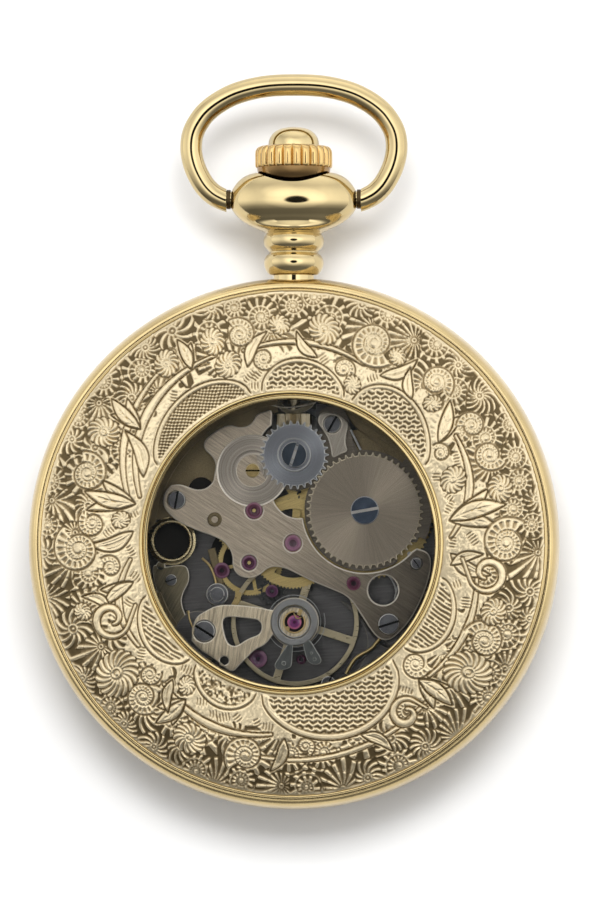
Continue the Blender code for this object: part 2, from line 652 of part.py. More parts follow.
# Barrel: a drum with its teeth, open to its cover side.
DRUM_PROFILE = [(5.60, 0.62), (5.60, 0.10), (0.74, -0.06),
                (0.74, 0.06), (5.15, 0.08), (5.15, 0.62)]
barrel_pitch_r, centre_pinion_r = pitch_radii(BARREL, CENTRE,
                                              N_BARREL, N_CENTRE_PINION)
barrel = union(slab([teeth(N_BARREL, barrel_pitch_r), circle(5.30, 24)],
                    -0.05, 0.22),
               turned(DRUM_PROFILE, steps=24))
place("barrel", barrel, "brass", at=BARREL)
place("barrel_cover", slab([circle(5.55, 24), circle(0.74, 12)], 0.63, 0.72),
      "brass", at=BARREL)
place("mainspring", slab([spiral(1.45, 4.85, 0.11)], 0.11, 0.60), "steel",
      at=BARREL)
ARBOR_PROFILE = [
    (0.0, 0.95), (0.50, 0.95), (0.50, 1.47), (0.66, 1.47), (0.66, 0.61),
    (1.10, 0.61), (1.10, 0.10), (0.66, 0.10), (0.66, -0.15), (0.0, -0.15)]
place("barrel_arbor", turned(ARBOR_PROFILE, steps=12, closed=False), "steel",
      at=BARREL)

# Click and its wire spring.
CLICK_OUTLINE = [
    (0.55, 0.0), (0.40, -0.42), (0.0, -0.55), (-0.42, -0.38), (-0.62, 0.20),
    (-0.88, 0.93), (-0.62, 1.10), (-0.10, 0.85), (0.40, 0.45)]
place("click", slab([CLICK_OUTLINE, circle(0.22, 10)], 1.20, 1.58), "steel",
      at=CLICK)
CLICK_SPRING_PATH = [(9.95, -2.55, 1.02), (9.40, -3.3, 1.02),
                     (9.10, -4.3, 1.02), (8.95, -4.95, 1.02)]
place("click_spring", wire(CLICK_SPRING_PATH, 0.06), "steel")


# ================================================================= TIME TRAIN
def gear_pair(wheel, wheel_span, pinion, pinion_span, arbor_r, arbor_span,
              steps=10):
    """A wheel (outline loops) and a pinion (one outline) on one arbor."""
    return union(slab(wheel, *wheel_span), slab([pinion], *pinion_span),
                 rod(arbor_r, *arbor_span, steps=steps))


centre_r, third_pinion_r = pitch_radii(CENTRE, THIRD, N_CENTRE, N_THIRD_PINION)
third_r, fourth_pinion_r = pitch_radii(THIRD, FOURTH, N_THIRD, N_FOURTH_PINION)
fourth_r, escape_pinion_r = pitch_radii(FOURTH, ESCAPE, N_FOURTH, N_ESCAPE_PINION)

# Every driving wheel has phase 0; each pinion is turned to mesh with it.
centre_pinion = teeth(N_CENTRE_PINION, centre_pinion_r, mesh_phase(
    BARREL, 0.0, N_BARREL, CENTRE, N_CENTRE_PINION))
third_pinion = teeth(N_THIRD_PINION, third_pinion_r, mesh_phase(
    CENTRE, 0.0, N_CENTRE, THIRD, N_THIRD_PINION))
fourth_pinion = teeth(N_FOURTH_PINION, fourth_pinion_r, mesh_phase(
    THIRD, 0.0, N_THIRD, FOURTH, N_FOURTH_PINION))
escape_pinion = teeth(N_ESCAPE_PINION, escape_pinion_r, mesh_phase(
    FOURTH, 0.0, N_FOURTH, ESCAPE, N_ESCAPE_PINION))

# Centre wheel: four arms; its arbor passes through the plate.
centre_loops = [teeth(N_CENTRE, centre_r)] + windows(
    inner=0.9, outer=3.05, half_arm=0.28, phase=0.9, outer_points=4)
place("centre_wheel", gear_pair(centre_loops, (0.76, 0.88), centre_pinion,
                                (-0.04, 0.28), 0.30, (-1.30, 1.74), steps=12),
      "brass", at=CENTRE)
place("third_wheel", gear_pair([teeth(N_THIRD, third_r)], (0.46, 0.58),
                               third_pinion, (0.68, 0.94), 0.16, (-0.16, 1.76)),
      "brass", at=THIRD)
place("fourth_wheel", gear_pair([teeth(N_FOURTH, fourth_r)], (0.02, 0.14),
                                fourth_pinion, (0.40, 0.66), 0.16, (-0.16, 1.76)),
      "brass", at=FOURTH)

# Escape wheel: slanted teeth, with a gap towards the pallet fork.
# Each tooth: radius, angle from the tooth's station (radians)
ESCAPE_TOOTH = [(1.02, -0.12), (1.36, 0.04), (1.02, 0.13)]
escape_outline = []
for i in range(N_ESCAPE):
    station = direction(ESCAPE, PALLET) + 2 * math.pi * (i + 0.5) / N_ESCAPE
    for radius, offset in ESCAPE_TOOTH:
        escape_outline.append((radius * math.cos(station + offset),
                               radius * math.sin(station + offset)))
place("escape_wheel", gear_pair([escape_outline], (0.30, 0.42), escape_pinion,
                                (-0.02, 0.22), 0.12, (-0.16, 1.00)),
      "steel", at=ESCAPE)

# Pallet fork, drawn pointing along +x, then turned towards the balance.
FORK_OUTLINE = [
    (-0.30, 0.14), (-0.62, 0.86), (-0.66, 1.02), (-0.48, 1.02), (-0.10, 0.32),
    (0.30, 0.12), (1.02, 0.08), (1.26, 0.22), (1.32, 0.16), (1.20, 0.0),
    (1.32, -0.16), (1.26, -0.22), (1.02, -0.08), (0.30, -0.12), (-0.10, -0.32),
    (-0.48, -1.02), (-0.66, -1.02), (-0.62, -0.86), (-0.30, -0.14)]
fork = union(slab([FORK_OUTLINE], 0.31, 0.41), rod(0.12, -0.14, 0.46, steps=10))
place("pallet_fork", rotated(fork, direction(PALLET, BALANCE)), "steel",
      at=PALLET)

# Balance: rim, four arms, staff and roller; hairspring above it.
balance_loops = [circle(5.66, 32)] + windows(
    inner=0.75, outer=5.28, half_arm=0.30, phase=math.radians(-18.0),
    outer_points=8)
balance = union(slab(balance_loops, 0.50, 0.70), rod(0.22, -0.10, 1.60, steps=12),
                slab([circle(0.30, 12)], 0.26, 0.52))
place("balance_wheel", balance, "gold", at=BALANCE)
place("hairspring", slab([spiral(0.42, 2.70, 0.045, phase=0.3)], 0.93, 1.04),
      "blued_steel", at=BALANCE)

# Balance cock: from a foot at the left to a round end over the balance.
COCK_UPPER = [(-8.89, -7.47), (-8.55, -6.46), (-7.70, -5.95), (-6.69, -5.44),
              (-5.33, -5.47), (-3.30, -5.61), (-2.12, -5.78)]
COCK_LOWER = [(-2.46, -9.00), (-3.30, -9.33), (-3.98, -10.01), (-4.66, -10.69),
              (-5.33, -11.45), (-6.18, -10.86), (-7.20, -10.01),
              (-8.21, -9.45), (-8.95, -8.60)]
COCK_OPENING = [(-6.18, -6.63), (-5.50, -6.46), (-3.98, -6.63), (-2.79, -6.79),
                (-2.76, -7.98), (-3.98, -8.40), (-4.83, -9.00), (-5.33, -9.08),
                (-5.84, -8.74), (-6.18, -7.47)]
cock = slab([COCK_UPPER + arc(2.17, 148.0, -150.0, 12, BALANCE) + COCK_LOWER,
             COCK_OPENING, circle(0.98, 18, COCK_SCREW)[::-1],
             circle(0.85, 16, BALANCE), circle(0.38, 10, (-6.06, -10.35))],
            1.12, 1.84)
place("balance_cock", cock, "bridge_grey")
place("shock_setting", cut(rod(0.80, 1.30, 1.98, steps=20),
                           rod(0.30, 1.2, 1.72, steps=12)), "brass", at=BALANCE)

# Regulator: a ring with two arms.
REGULATOR_ARMS = [
    [(-0.55, -1.7), (-1.55, -3.62), (-1.30, -4.15), (-0.60, -4.20),
     (-0.10, -1.75)],
    [(0.75, -1.6), (1.85, -3.40), (2.45, -3.55), (2.35, -3.0), (1.35, -1.35)]]
regulator = union(slab([circle(2.05, 20), circle(1.46, 16)], 1.86, 2.10),
                  *[slab([arm], 1.90, 2.06) for arm in REGULATOR_ARMS])
place("regulator", regulator, "dark_plate", at=BALANCE)

# ================================================================== DIAL SIDE
# Cannon pinion, minute wheel and setting wheel share one module; the hour
# wheel and the minute pinion divide the same centre distance.
CANNON_R = 0.78
MINUTE_R = CANNON_R * N_MINUTE / N_CANNON
SETTING_R = CANNON_R * N_SETTING / N_CANNON
HOUR_R = (CANNON_R + MINUTE_R) * N_HOUR / (N_HOUR + N_MINUTE_PINION)
MINUTE_PINION_R = HOUR_R * N_MINUTE_PINION / N_HOUR

cannon = union(slab([teeth(N_CANNON, CANNON_R), circle(0.36, 12)], -1.56, -1.30),
               slab([circle(0.56, 14), circle(0.36, 12)], -3.24, -1.40))
place("cannon_pinion", cannon, "steel")

minute_phase = mesh_phase(CENTRE, 0.0, N_CANNON, MINUTE, N_MINUTE)
place("minute_wheel",
      gear_pair([teeth(N_MINUTE, MINUTE_R, minute_phase)], (-1.52, -1.34),
                teeth(N_MINUTE_PINION, MINUTE_PINION_R), (-1.92, -1.45),
                0.15, (-1.96, -1.24)), "brass", at=MINUTE)

hour_phase = mesh_phase(MINUTE, 0.0, N_MINUTE_PINION, CENTRE, N_HOUR)
hour_wheel = union(
    slab([teeth(N_HOUR, HOUR_R, hour_phase), circle(0.66, 14)], -1.90, -1.70),
    slab([circle(1.00, 18), circle(0.66, 14)], -2.84, -1.80))
place("hour_wheel", hour_wheel, "brass")

setting_phase = mesh_phase(MINUTE, minute_phase, N_MINUTE, SETTING, N_SETTING)
setting_wheel = union(
    slab([teeth(N_SETTING, SETTING_R, setting_phase)], -1.52, -1.34),
    rod(0.20, -1.60, -1.24, steps=10))
place("setting_wheel", setting_wheel, "steel", at=SETTING)


# Hands, at ten past ten.
def hand(length, tail, half_width, hub_r, bore_r, low, high, clock):
    """A leaf hand; `clock` is in degrees clockwise from 12, dial side."""
    neck = half_width * 0.35
    widest = length * 0.45
    leaf = [(neck, -tail), (neck, 0.0), (half_width, widest), (0.0, length),
            (-half_width, widest), (-neck, 0.0), (-neck, -tail)]
    solid = union(slab([leaf], low + 0.01, high - 0.01),
                  slab([circle(hub_r, 14)], low, high))
    solid = cut(solid, rod(bore_r, low - 1, high + 1, steps=12))
    return rotated(solid, math.radians(clock))


place("hour_hand",
      hand(length=9.8, tail=2.4, half_width=0.75, hub_r=1.35, bore_r=1.09,
           low=-2.82, high=-2.62, clock=305.0), "blued_steel")
place("minute_hand",
      hand(length=15.6, tail=3.2, half_width=0.62, hub_r=1.05, bore_r=0.59,
           low=-3.22, high=-3.04, clock=60.0), "blued_steel")

# Setting lever, with a pin and a square pad at its left end, and yoke, both in
# the plate's keyless recess.
LEVER_OUTLINE = [
    (0.75, 0.0), (0.4, 0.7), (-0.5, 0.8), (-1.4, 1.35), (-3.05, 1.78),
    (-3.10, 1.46), (-1.6, 0.7), (-0.9, -0.5), (0.2, -0.8)]
LEVER_PAD = [(-2.9, 1.80), (-3.55, 1.80), (-3.55, 1.42), (-2.9, 1.42)]
setting_lever = union(slab([LEVER_OUTLINE, circle(0.30, 10)], -0.98, -0.70),
                      rod(0.17, -0.98, -0.40, (-3.36, 1.60), 10),
                      slab([LEVER_PAD], -0.97, -0.72))
place("setting_lever", setting_lever, "steel", at=SET_LEVER)
YOKE_OUTLINE = [
    (-0.7, 0.0), (-0.4, 0.6), (0.3, 0.55), (1.6, -0.05), (3.3, -0.22),
    (4.30, -0.24), (4.30, -0.52), (3.1, -0.60), (1.4, -0.65), (0.2, -0.65)]
place("yoke", slab([YOKE_OUTLINE, circle(0.28, 10)], -0.98, -0.76), "steel",
      at=YOKE)


# =========================================================== SCREWS AND JEWELS
def slotted_screw(head_r, seat, top, shank_r, bottom, angle, slot):
    """A cheese-head screw; its straight slot is as deep as it is wide."""
    body = turned([(0.0, top), (head_r, top), (head_r, seat), (shank_r, seat),
                   (shank_r, bottom), (0.0, bottom)], steps=12, closed=False)
    groove = block((-head_r - 0.5, head_r + 0.5), (-slot / 2, slot / 2),
                   (top - slot, top + 0.5))
    return cut(body, rotated(groove, math.radians(angle)))


# name, finish, place, then head radius, head underside, head top,
# shank radius, shank end, slot angle (degrees), slot width
SCREWS = [
    ("ratchet_screw", "blued_steel", BARREL,
     1.24, 1.88, 2.12, 0.45, 1.10, 10.0, 0.22),
    ("crown_wheel_screw", "blued_steel", CROWN_WHEEL,
     1.15, 1.92, 2.12, 0.35, 1.20, 72.0, 0.22),
    ("click_screw", "blued_steel", CLICK,
     0.47, 1.64, 1.90, 0.17, 1.15, -55.0, 0.12),
    ("cock_screw", "blued_steel", COCK_SCREW,
     0.93, 1.46, 1.86, 0.42, 1.06, -32.0, 0.22),
    ("bridge_screw_left", "steel", LEFT_SCREW,
     0.76, 1.46, 1.88, 0.34, 1.06, 80.0, 0.22),
    ("bridge_screw_right", "steel", RIGHT_SCREW,
     0.88, 1.46, 1.88, 0.34, 1.06, 17.0, 0.22),
    ("setting_lever_screw", "steel", SET_LEVER,
     0.76, 1.48, 1.90, 0.24, -1.02, 60.0, 0.22),
]
for name, finish, at, *sizes in SCREWS:
    place(name, slotted_screw(*sizes), finish, at=at)

# name, place, outer radius, bore radius
JEWELS = [("jewel_centre", CENTRE, 0.71, 0.36),
          ("jewel_third", THIRD, 0.71, 0.20),
          ("jewel_fourth", FOURTH, 0.62, 0.20)]
for name, at, outer_r, bore_r in JEWELS:
    place(name, slab([circle(outer_r, 12), circle(bore_r, 8)], 1.50, 1.84),
          "ruby", at=at)

# Remove the construction data.
for store in (bpy.data.meshes, bpy.data.curves):
    for data in list(store):
        if data.users == 0:
            store.remove(data)
bpy.data.collections.remove(WORK)
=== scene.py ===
# Looks of the pocket watch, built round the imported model.
# Frame: metres, +Z to the pendant, -Y out of the window back, +Y out of the
# front lid.  Shapes are drawn in millimetres in a back frame (x right, y up,
# h out of the back, h = 0 on the stem plane), so Y = -(h + REST).

import json
import math

import bmesh
import bpy
import numpy as np
from mathutils import Matrix, Vector


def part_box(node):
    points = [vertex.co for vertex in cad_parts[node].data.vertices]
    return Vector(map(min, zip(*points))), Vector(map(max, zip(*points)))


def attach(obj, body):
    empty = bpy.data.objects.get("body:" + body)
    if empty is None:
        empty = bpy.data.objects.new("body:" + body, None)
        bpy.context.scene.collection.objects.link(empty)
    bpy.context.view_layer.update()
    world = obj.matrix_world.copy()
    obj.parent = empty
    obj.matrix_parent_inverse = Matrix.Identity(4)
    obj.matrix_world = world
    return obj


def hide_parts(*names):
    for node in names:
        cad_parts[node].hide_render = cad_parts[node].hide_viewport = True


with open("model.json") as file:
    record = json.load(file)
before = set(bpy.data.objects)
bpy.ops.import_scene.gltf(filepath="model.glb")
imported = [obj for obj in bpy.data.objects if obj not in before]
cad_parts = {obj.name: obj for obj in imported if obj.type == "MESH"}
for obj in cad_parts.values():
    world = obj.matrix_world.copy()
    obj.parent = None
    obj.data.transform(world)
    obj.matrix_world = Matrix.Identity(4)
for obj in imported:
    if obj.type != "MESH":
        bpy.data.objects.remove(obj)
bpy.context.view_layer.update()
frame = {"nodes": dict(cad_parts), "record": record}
NODES = frame["nodes"]
MM = 0.001
REST = round(-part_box("back_glass")[0].y * 1000.0 - 5.16, 3)   # stem plane above the lid

COLL = bpy.context.scene.collection


# ------------------------------------------------------------------ mesh tools
def finish_mesh(bm, weld=2e-4):
    if weld:
        bmesh.ops.remove_doubles(bm, verts=bm.verts, dist=weld)
        bmesh.ops.dissolve_degenerate(bm, edges=bm.edges, dist=weld)
    bmesh.ops.recalc_face_normals(bm, faces=bm.faces)
    if bm.calc_volume(signed=True) < 0:
        bmesh.ops.reverse_faces(bm, faces=bm.faces)


def solid_of(ob, weld=2e-4):
    bpy.context.view_layer.update()
    dg = bpy.context.evaluated_depsgraph_get()
    me = bpy.data.meshes.new_from_object(ob.evaluated_get(dg))
    bm = bmesh.new()
    bm.from_mesh(me)
    finish_mesh(bm, weld)
    bm.to_mesh(me)
    bm.free()
    return me


def temp(data):
    ob = bpy.data.objects.new("work", data)
    COLL.objects.link(ob)
    return ob


def boolean(a, b, op):
    oa, ob = temp(a), temp(b)
    m = oa.modifiers.new("bool", "BOOLEAN")
    m.operation, m.solver, m.object = op, "EXACT", ob
    me = solid_of(oa)
    bpy.data.objects.remove(oa, do_unlink=True)
    bpy.data.objects.remove(ob, do_unlink=True)
    return me


def union(a, *rest):
    for b in rest:
        a = boolean(a, b, "UNION")
    return a


def cut(a, *rest):
    for b in rest:
        a = boolean(a, b, "DIFFERENCE")
    return a


def joined(*meshes):
    """Several closed bodies in one mesh, left as they are."""
    bm = bmesh.new()
    for me in meshes:
        bm.from_mesh(me)
    out = bpy.data.meshes.new("joined")
    bm.to_mesh(out)
    bm.free()
    return out


def lathe(profile, steps=96, closed=True, radius_at=None):
    """A profile (r, h) turned about the local Z axis, points on the axis shared."""
    me = bpy.data.meshes.new("lathe")
    bm = bmesh.new()
    rings = []
    for r, h in profile:
        if r < 1e-6:
            rings.append([bm.verts.new((0, 0, h))])
        else:
            ring = []
            for i in range(steps):
                a = 2 * math.pi * i / steps
                rr = radius_at(r, h, a) if radius_at else r
                ring.append(bm.verts.new((rr * math.cos(a), rr * math.sin(a), h)))
            rings.append(ring)
    n = len(rings)
    for k in range(n if closed else n - 1):
        p, q = rings[k], rings[(k + 1) % n]
        if len(p) == 1 and len(q) == 1:
            continue
        for i in range(steps):
            j = (i + 1) % steps
            if len(p) == 1:
                bm.faces.new((p[0], q[i], q[j]))
            elif len(q) == 1:
                bm.faces.new((p[i], p[j], q[0]))
            else:
                bm.faces.new((p[i], p[j], q[j], q[i]))
    bmesh.ops.recalc_face_normals(bm, faces=bm.faces)
    if bm.calc_volume(signed=True) < 0:
        bmesh.ops.reverse_faces(bm, faces=bm.faces)
    bm.to_mesh(me)
    bm.free()
    return me


def slab(loops, h0, h1, bevel=0.0, res=1):
    """Flat outlines extruded from h0 to h1, with softened edges if asked."""
    cu = bpy.data.curves.new("outline", "CURVE")
    cu.dimensions = "2D"
    cu.fill_mode = "BOTH"
    cu.extrude = max(1e-5, (h1 - h0) / 2.0 - bevel)
    if bevel:
        cu.bevel_depth = bevel
        cu.bevel_resolution = res
        cu.offset = -bevel
    for pts in loops:
        sp = cu.splines.new("POLY")
        sp.points.add(len(pts) - 1)
        for p, (x, y) in zip(sp.points, pts):
            p.co = (x, y, 0.0, 1.0)
        sp.use_cyclic_u = True
    ob = temp(cu)
    me = solid_of(ob)
    bpy.data.objects.remove(ob, do_unlink=True)
    me.transform(Matrix.Translation((0, 0, (h0 + h1) / 2.0)))
    return me


def rod(r, h0, h1, at=(0.0, 0.0), steps=40, bevel=0.0):
    b = bevel
    if b:
        prof = [(0, h0), (r - b, h0), (r, h0 + b), (r, h1 - b), (r - b * 0.3, h1 - b * 0.3),
                (r - b, h1), (0, h1)]
    else:
        prof = [(0, h0), (r, h0), (r, h1), (0, h1)]
    me = lathe(prof, steps, closed=False)
    me.transform(Matrix.Translation((at[0], at[1], 0)))
    return me


def block(x0, x1, y0, y1, h0, h1, bevel=0.0):
    return slab([[(x0, y0), (x1, y0), (x1, y1), (x0, y1)]], h0, h1, bevel)


def wire(points, radius, resolution=3, cyclic=False, radii=None):
    cu = bpy.data.curves.new("wire", "CURVE")
    cu.dimensions = "3D"
    cu.bevel_depth = radius
    cu.bevel_resolution = resolution
    cu.use_fill_caps = True
    sp = cu.splines.new("POLY")
    sp.points.add(len(points) - 1)
    for i, (p, co) in enumerate(zip(sp.points, points)):
        p.co = (co[0], co[1], co[2], 1.0)
        if radii:
            p.radius = radii[i]
    sp.use_cyclic_u = cyclic
    ob = temp(cu)
    me = solid_of(ob)
    bpy.data.objects.remove(ob, do_unlink=True)
    return me


def strip(points, width, h0, h1, bevel=0.03, taper=None):
    """A flat bar that follows a path, with square ends."""
    left, right = [], []
    n = len(points)
    for i, (x, y) in enumerate(points):
        x0, y0 = points[max(0, i - 1)]
        x1, y1 = points[min(n - 1, i + 1)]
        L = math.hypot(x1 - x0, y1 - y0) or 1.0
        nx, ny = -(y1 - y0) / L, (x1 - x0) / L
        w = width / 2 * (taper(i / (n - 1)) if taper else 1.0)
        left.append((x + nx * w, y + ny * w))
        right.append((x - nx * w, y - ny * w))
    return slab([right + left[::-1]], h0, h1, bevel)


def turned_by(me, deg, axis="Z"):
    me.transform(Matrix.Rotation(math.radians(deg), 4, axis))
    return me


def shifted(me, x=0.0, y=0.0, z=0.0):
    me.transform(Matrix.Translation((x, y, z)))
    return me


def keep_flats(me):
    """Flats square to the watch axis end in a crisp edge, so they shade flat."""
    bm = bmesh.new()
    bm.from_mesh(me)
    for e in bm.edges:
        if len(e.link_faces) == 2:
            a, b = (abs(f.normal.y) > 0.9995 for f in e.link_faces)
            if a != b:
                e.smooth = False
    bm.to_mesh(me)
    bm.free()


BACK = Matrix.Rotation(math.radians(90.0), 4, "X")       # back frame -> world


def place(name, me, mat, body, nodes=(), at=(0.0, 0.0), back=True,
          angle=30.0, origin_y=0.0):
    """One finished piece: metres, its origin on its own axis, riding a body."""
    if back:
        me.transform(BACK)
    me.transform(Matrix.Scale(MM, 4))
    me.name = name
    me.materials.clear()
    me.materials.append(mat)
    ob = bpy.data.objects.new(name, me)
    COLL.objects.link(ob)
    ob.location = (at[0] * MM, -REST * MM, at[1] * MM)
    me.shade_smooth()
    if angle:
        me.set_sharp_from_angle(angle=math.radians(angle))
    if back:
        keep_flats(me)
    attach(ob, body)
    if nodes:
        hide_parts(*nodes)
    return ob


# -------------------------------------------------------------------- outlines
def circle(r, n=48, at=(0.0, 0.0), phase=0.0):
    return [(at[0] + r * math.cos(phase + 2 * math.pi * i / n),
             at[1] + r * math.sin(phase + 2 * math.pi * i / n)) for i in range(n)]


def arc(r, a0, a1, n, at=(0.0, 0.0)):
    return [(at[0] + r * math.cos(math.radians(a0 + (a1 - a0) * i / n)),
             at[1] + r * math.sin(math.radians(a0 + (a1 - a0) * i / n)))
            for i in range(n + 1)]


def chaikin(pts, times=2, closed=True):
    for _ in range(times):
        out = []
        n = len(pts)
        if not closed:
            out.append(pts[0])
        for i in range(n if closed else n - 1):
            (x0, y0), (x1, y1) = pts[i], pts[(i + 1) % n]
            out.append((0.75 * x0 + 0.25 * x1, 0.75 * y0 + 0.25 * y1))
            out.append((0.25 * x0 + 0.75 * x1, 0.25 * y0 + 0.75 * y1))
        if not closed:
            out.append(pts[-1])
        pts = out
    return pts


def flow(pts, per=6):
    """Catmull-Rom points through stations of any dimension."""
    out = []
    n = len(pts)
    for i in range(n - 1):
        p0, p1, p2, p3 = pts[max(i - 1, 0)], pts[i], pts[i + 1], pts[min(i + 2, n - 1)]
        for k in range(per):
            t = k / per
            out.append(tuple(0.5 * ((2 * b) + (-a + c) * t + (2 * a - 5 * b + 4 * c - d) * t * t
                                    + (-a + 3 * b - 3 * c + d) * t ** 3)
                             for a, b, c, d in zip(p0, p1, p2, p3)))
    out.append(tuple(pts[-1]))
    return out


def gear(n, tip, root, phase=0.0, tip_frac=0.18, root_frac=0.66, soft=True):
    p = 2 * math.pi / n
    pts = []
    mid = (tip + root) / 2
    for i in range(n):
        a = phase + p * i
        for r, d in ((root, -root_frac / 2), (mid, -(tip_frac * 0.4 + root_frac * 0.6) / 2 * 0.9),
                     (tip, -tip_frac / 2), (tip, tip_frac / 2),
                     (mid, (tip_frac * 0.4 + root_frac * 0.6) / 2 * 0.9), (root, root_frac / 2)):
            pts.append((r * math.cos(a + d * p), r * math.sin(a + d * p)))
    return pts


def windows(r_in, r_out, count, arm, phase=0.0, n=12):
    loops = []
    for i in range(count):
        a0 = phase + 2 * math.pi * i / count
        a1 = a0 + 2 * math.pi / count
        pts = []
        do, di = math.asin(arm / r_out), math.asin(min(0.99, arm / r_in))
        for k in range(n):
            a = a0 + do + (a1 - a0 - 2 * do) * k / (n - 1)
            pts.append((r_out * math.cos(a), r_out * math.sin(a)))
        for k in range(5):
            a = a1 - di - (a1 - a0 - 2 * di) * k / 4
            pts.append((r_in * math.cos(a), r_in * math.sin(a)))
        loops.append(pts)
    return loops


def mesh_phase(a_at, a_phase, n_a, b_at, n_b):
    th = math.atan2(b_at[1] - a_at[1], b_at[0] - a_at[0])
    return th + math.pi - ((a_phase - th) * n_a / n_b + math.pi / n_b)


def pitch_radii(a, b, na, nb):
    d = math.hypot(b[0] - a[0], b[1] - a[1])
    return d * na / (na + nb), d * nb / (na + nb)


def screw(r, h_seat, h_top, r_shank, h_bottom, angle, slot=0.22, depth=0.2):
    """A screw head with a polished chamfer and a straight slot."""
    b = min(0.08, r * 0.1)
    s = lathe([(0, h_top), (r - b, h_top), (r - b * 0.3, h_top - b * 0.3), (r, h_top - b),
               (r, h_seat), (r_shank, h_seat), (r_shank, h_bottom), (0, h_bottom)],
              44, closed=False)
    c = block(-r - 0.5, r + 0.5, -slot / 2, slot / 2, h_top - depth, h_top + 0.5)
    me = cut(s, turned_by(c, angle))
    # the floor of the slot is marked, so the finish can paint shade or a highlight on it
    at = me.attributes.new("slot_floor_painted_light", "FLOAT", "POINT")
    at.data.foreach_set("value", [1.0 if abs(v.co.z - h_top + depth) < 1e-3
                                  and math.hypot(v.co.x, v.co.y) < r + 0.01 else 0.0
                                  for v in me.vertices])
    return me


# -------------------------------------------------------------------- stations
BARREL, CROWN_WHEEL, CENTRE = (6.35, 2.89), (0.12, 7.80), (0.0, 0.0)
THIRD, FOURTH, ESCAPE = (-3.43, 2.89), (-3.86, -1.72), (-1.90, -4.22)
PALLET, BALANCE, CLICK = (-0.86, -5.63), (0.13, -6.96), (10.90, -1.80)
SET_LEVER, SPOT = (3.47, 10.50), (-3.56, 6.41)


# ------------------------------------------------------------------- materials
def lin(r, g, b):
    def f(c):
        c /= 255.0
        return c / 12.92 if c <= 0.04045 else ((c + 0.055) / 1.055) ** 2.4
    return (f(r), f(g), f(b), 1.0)


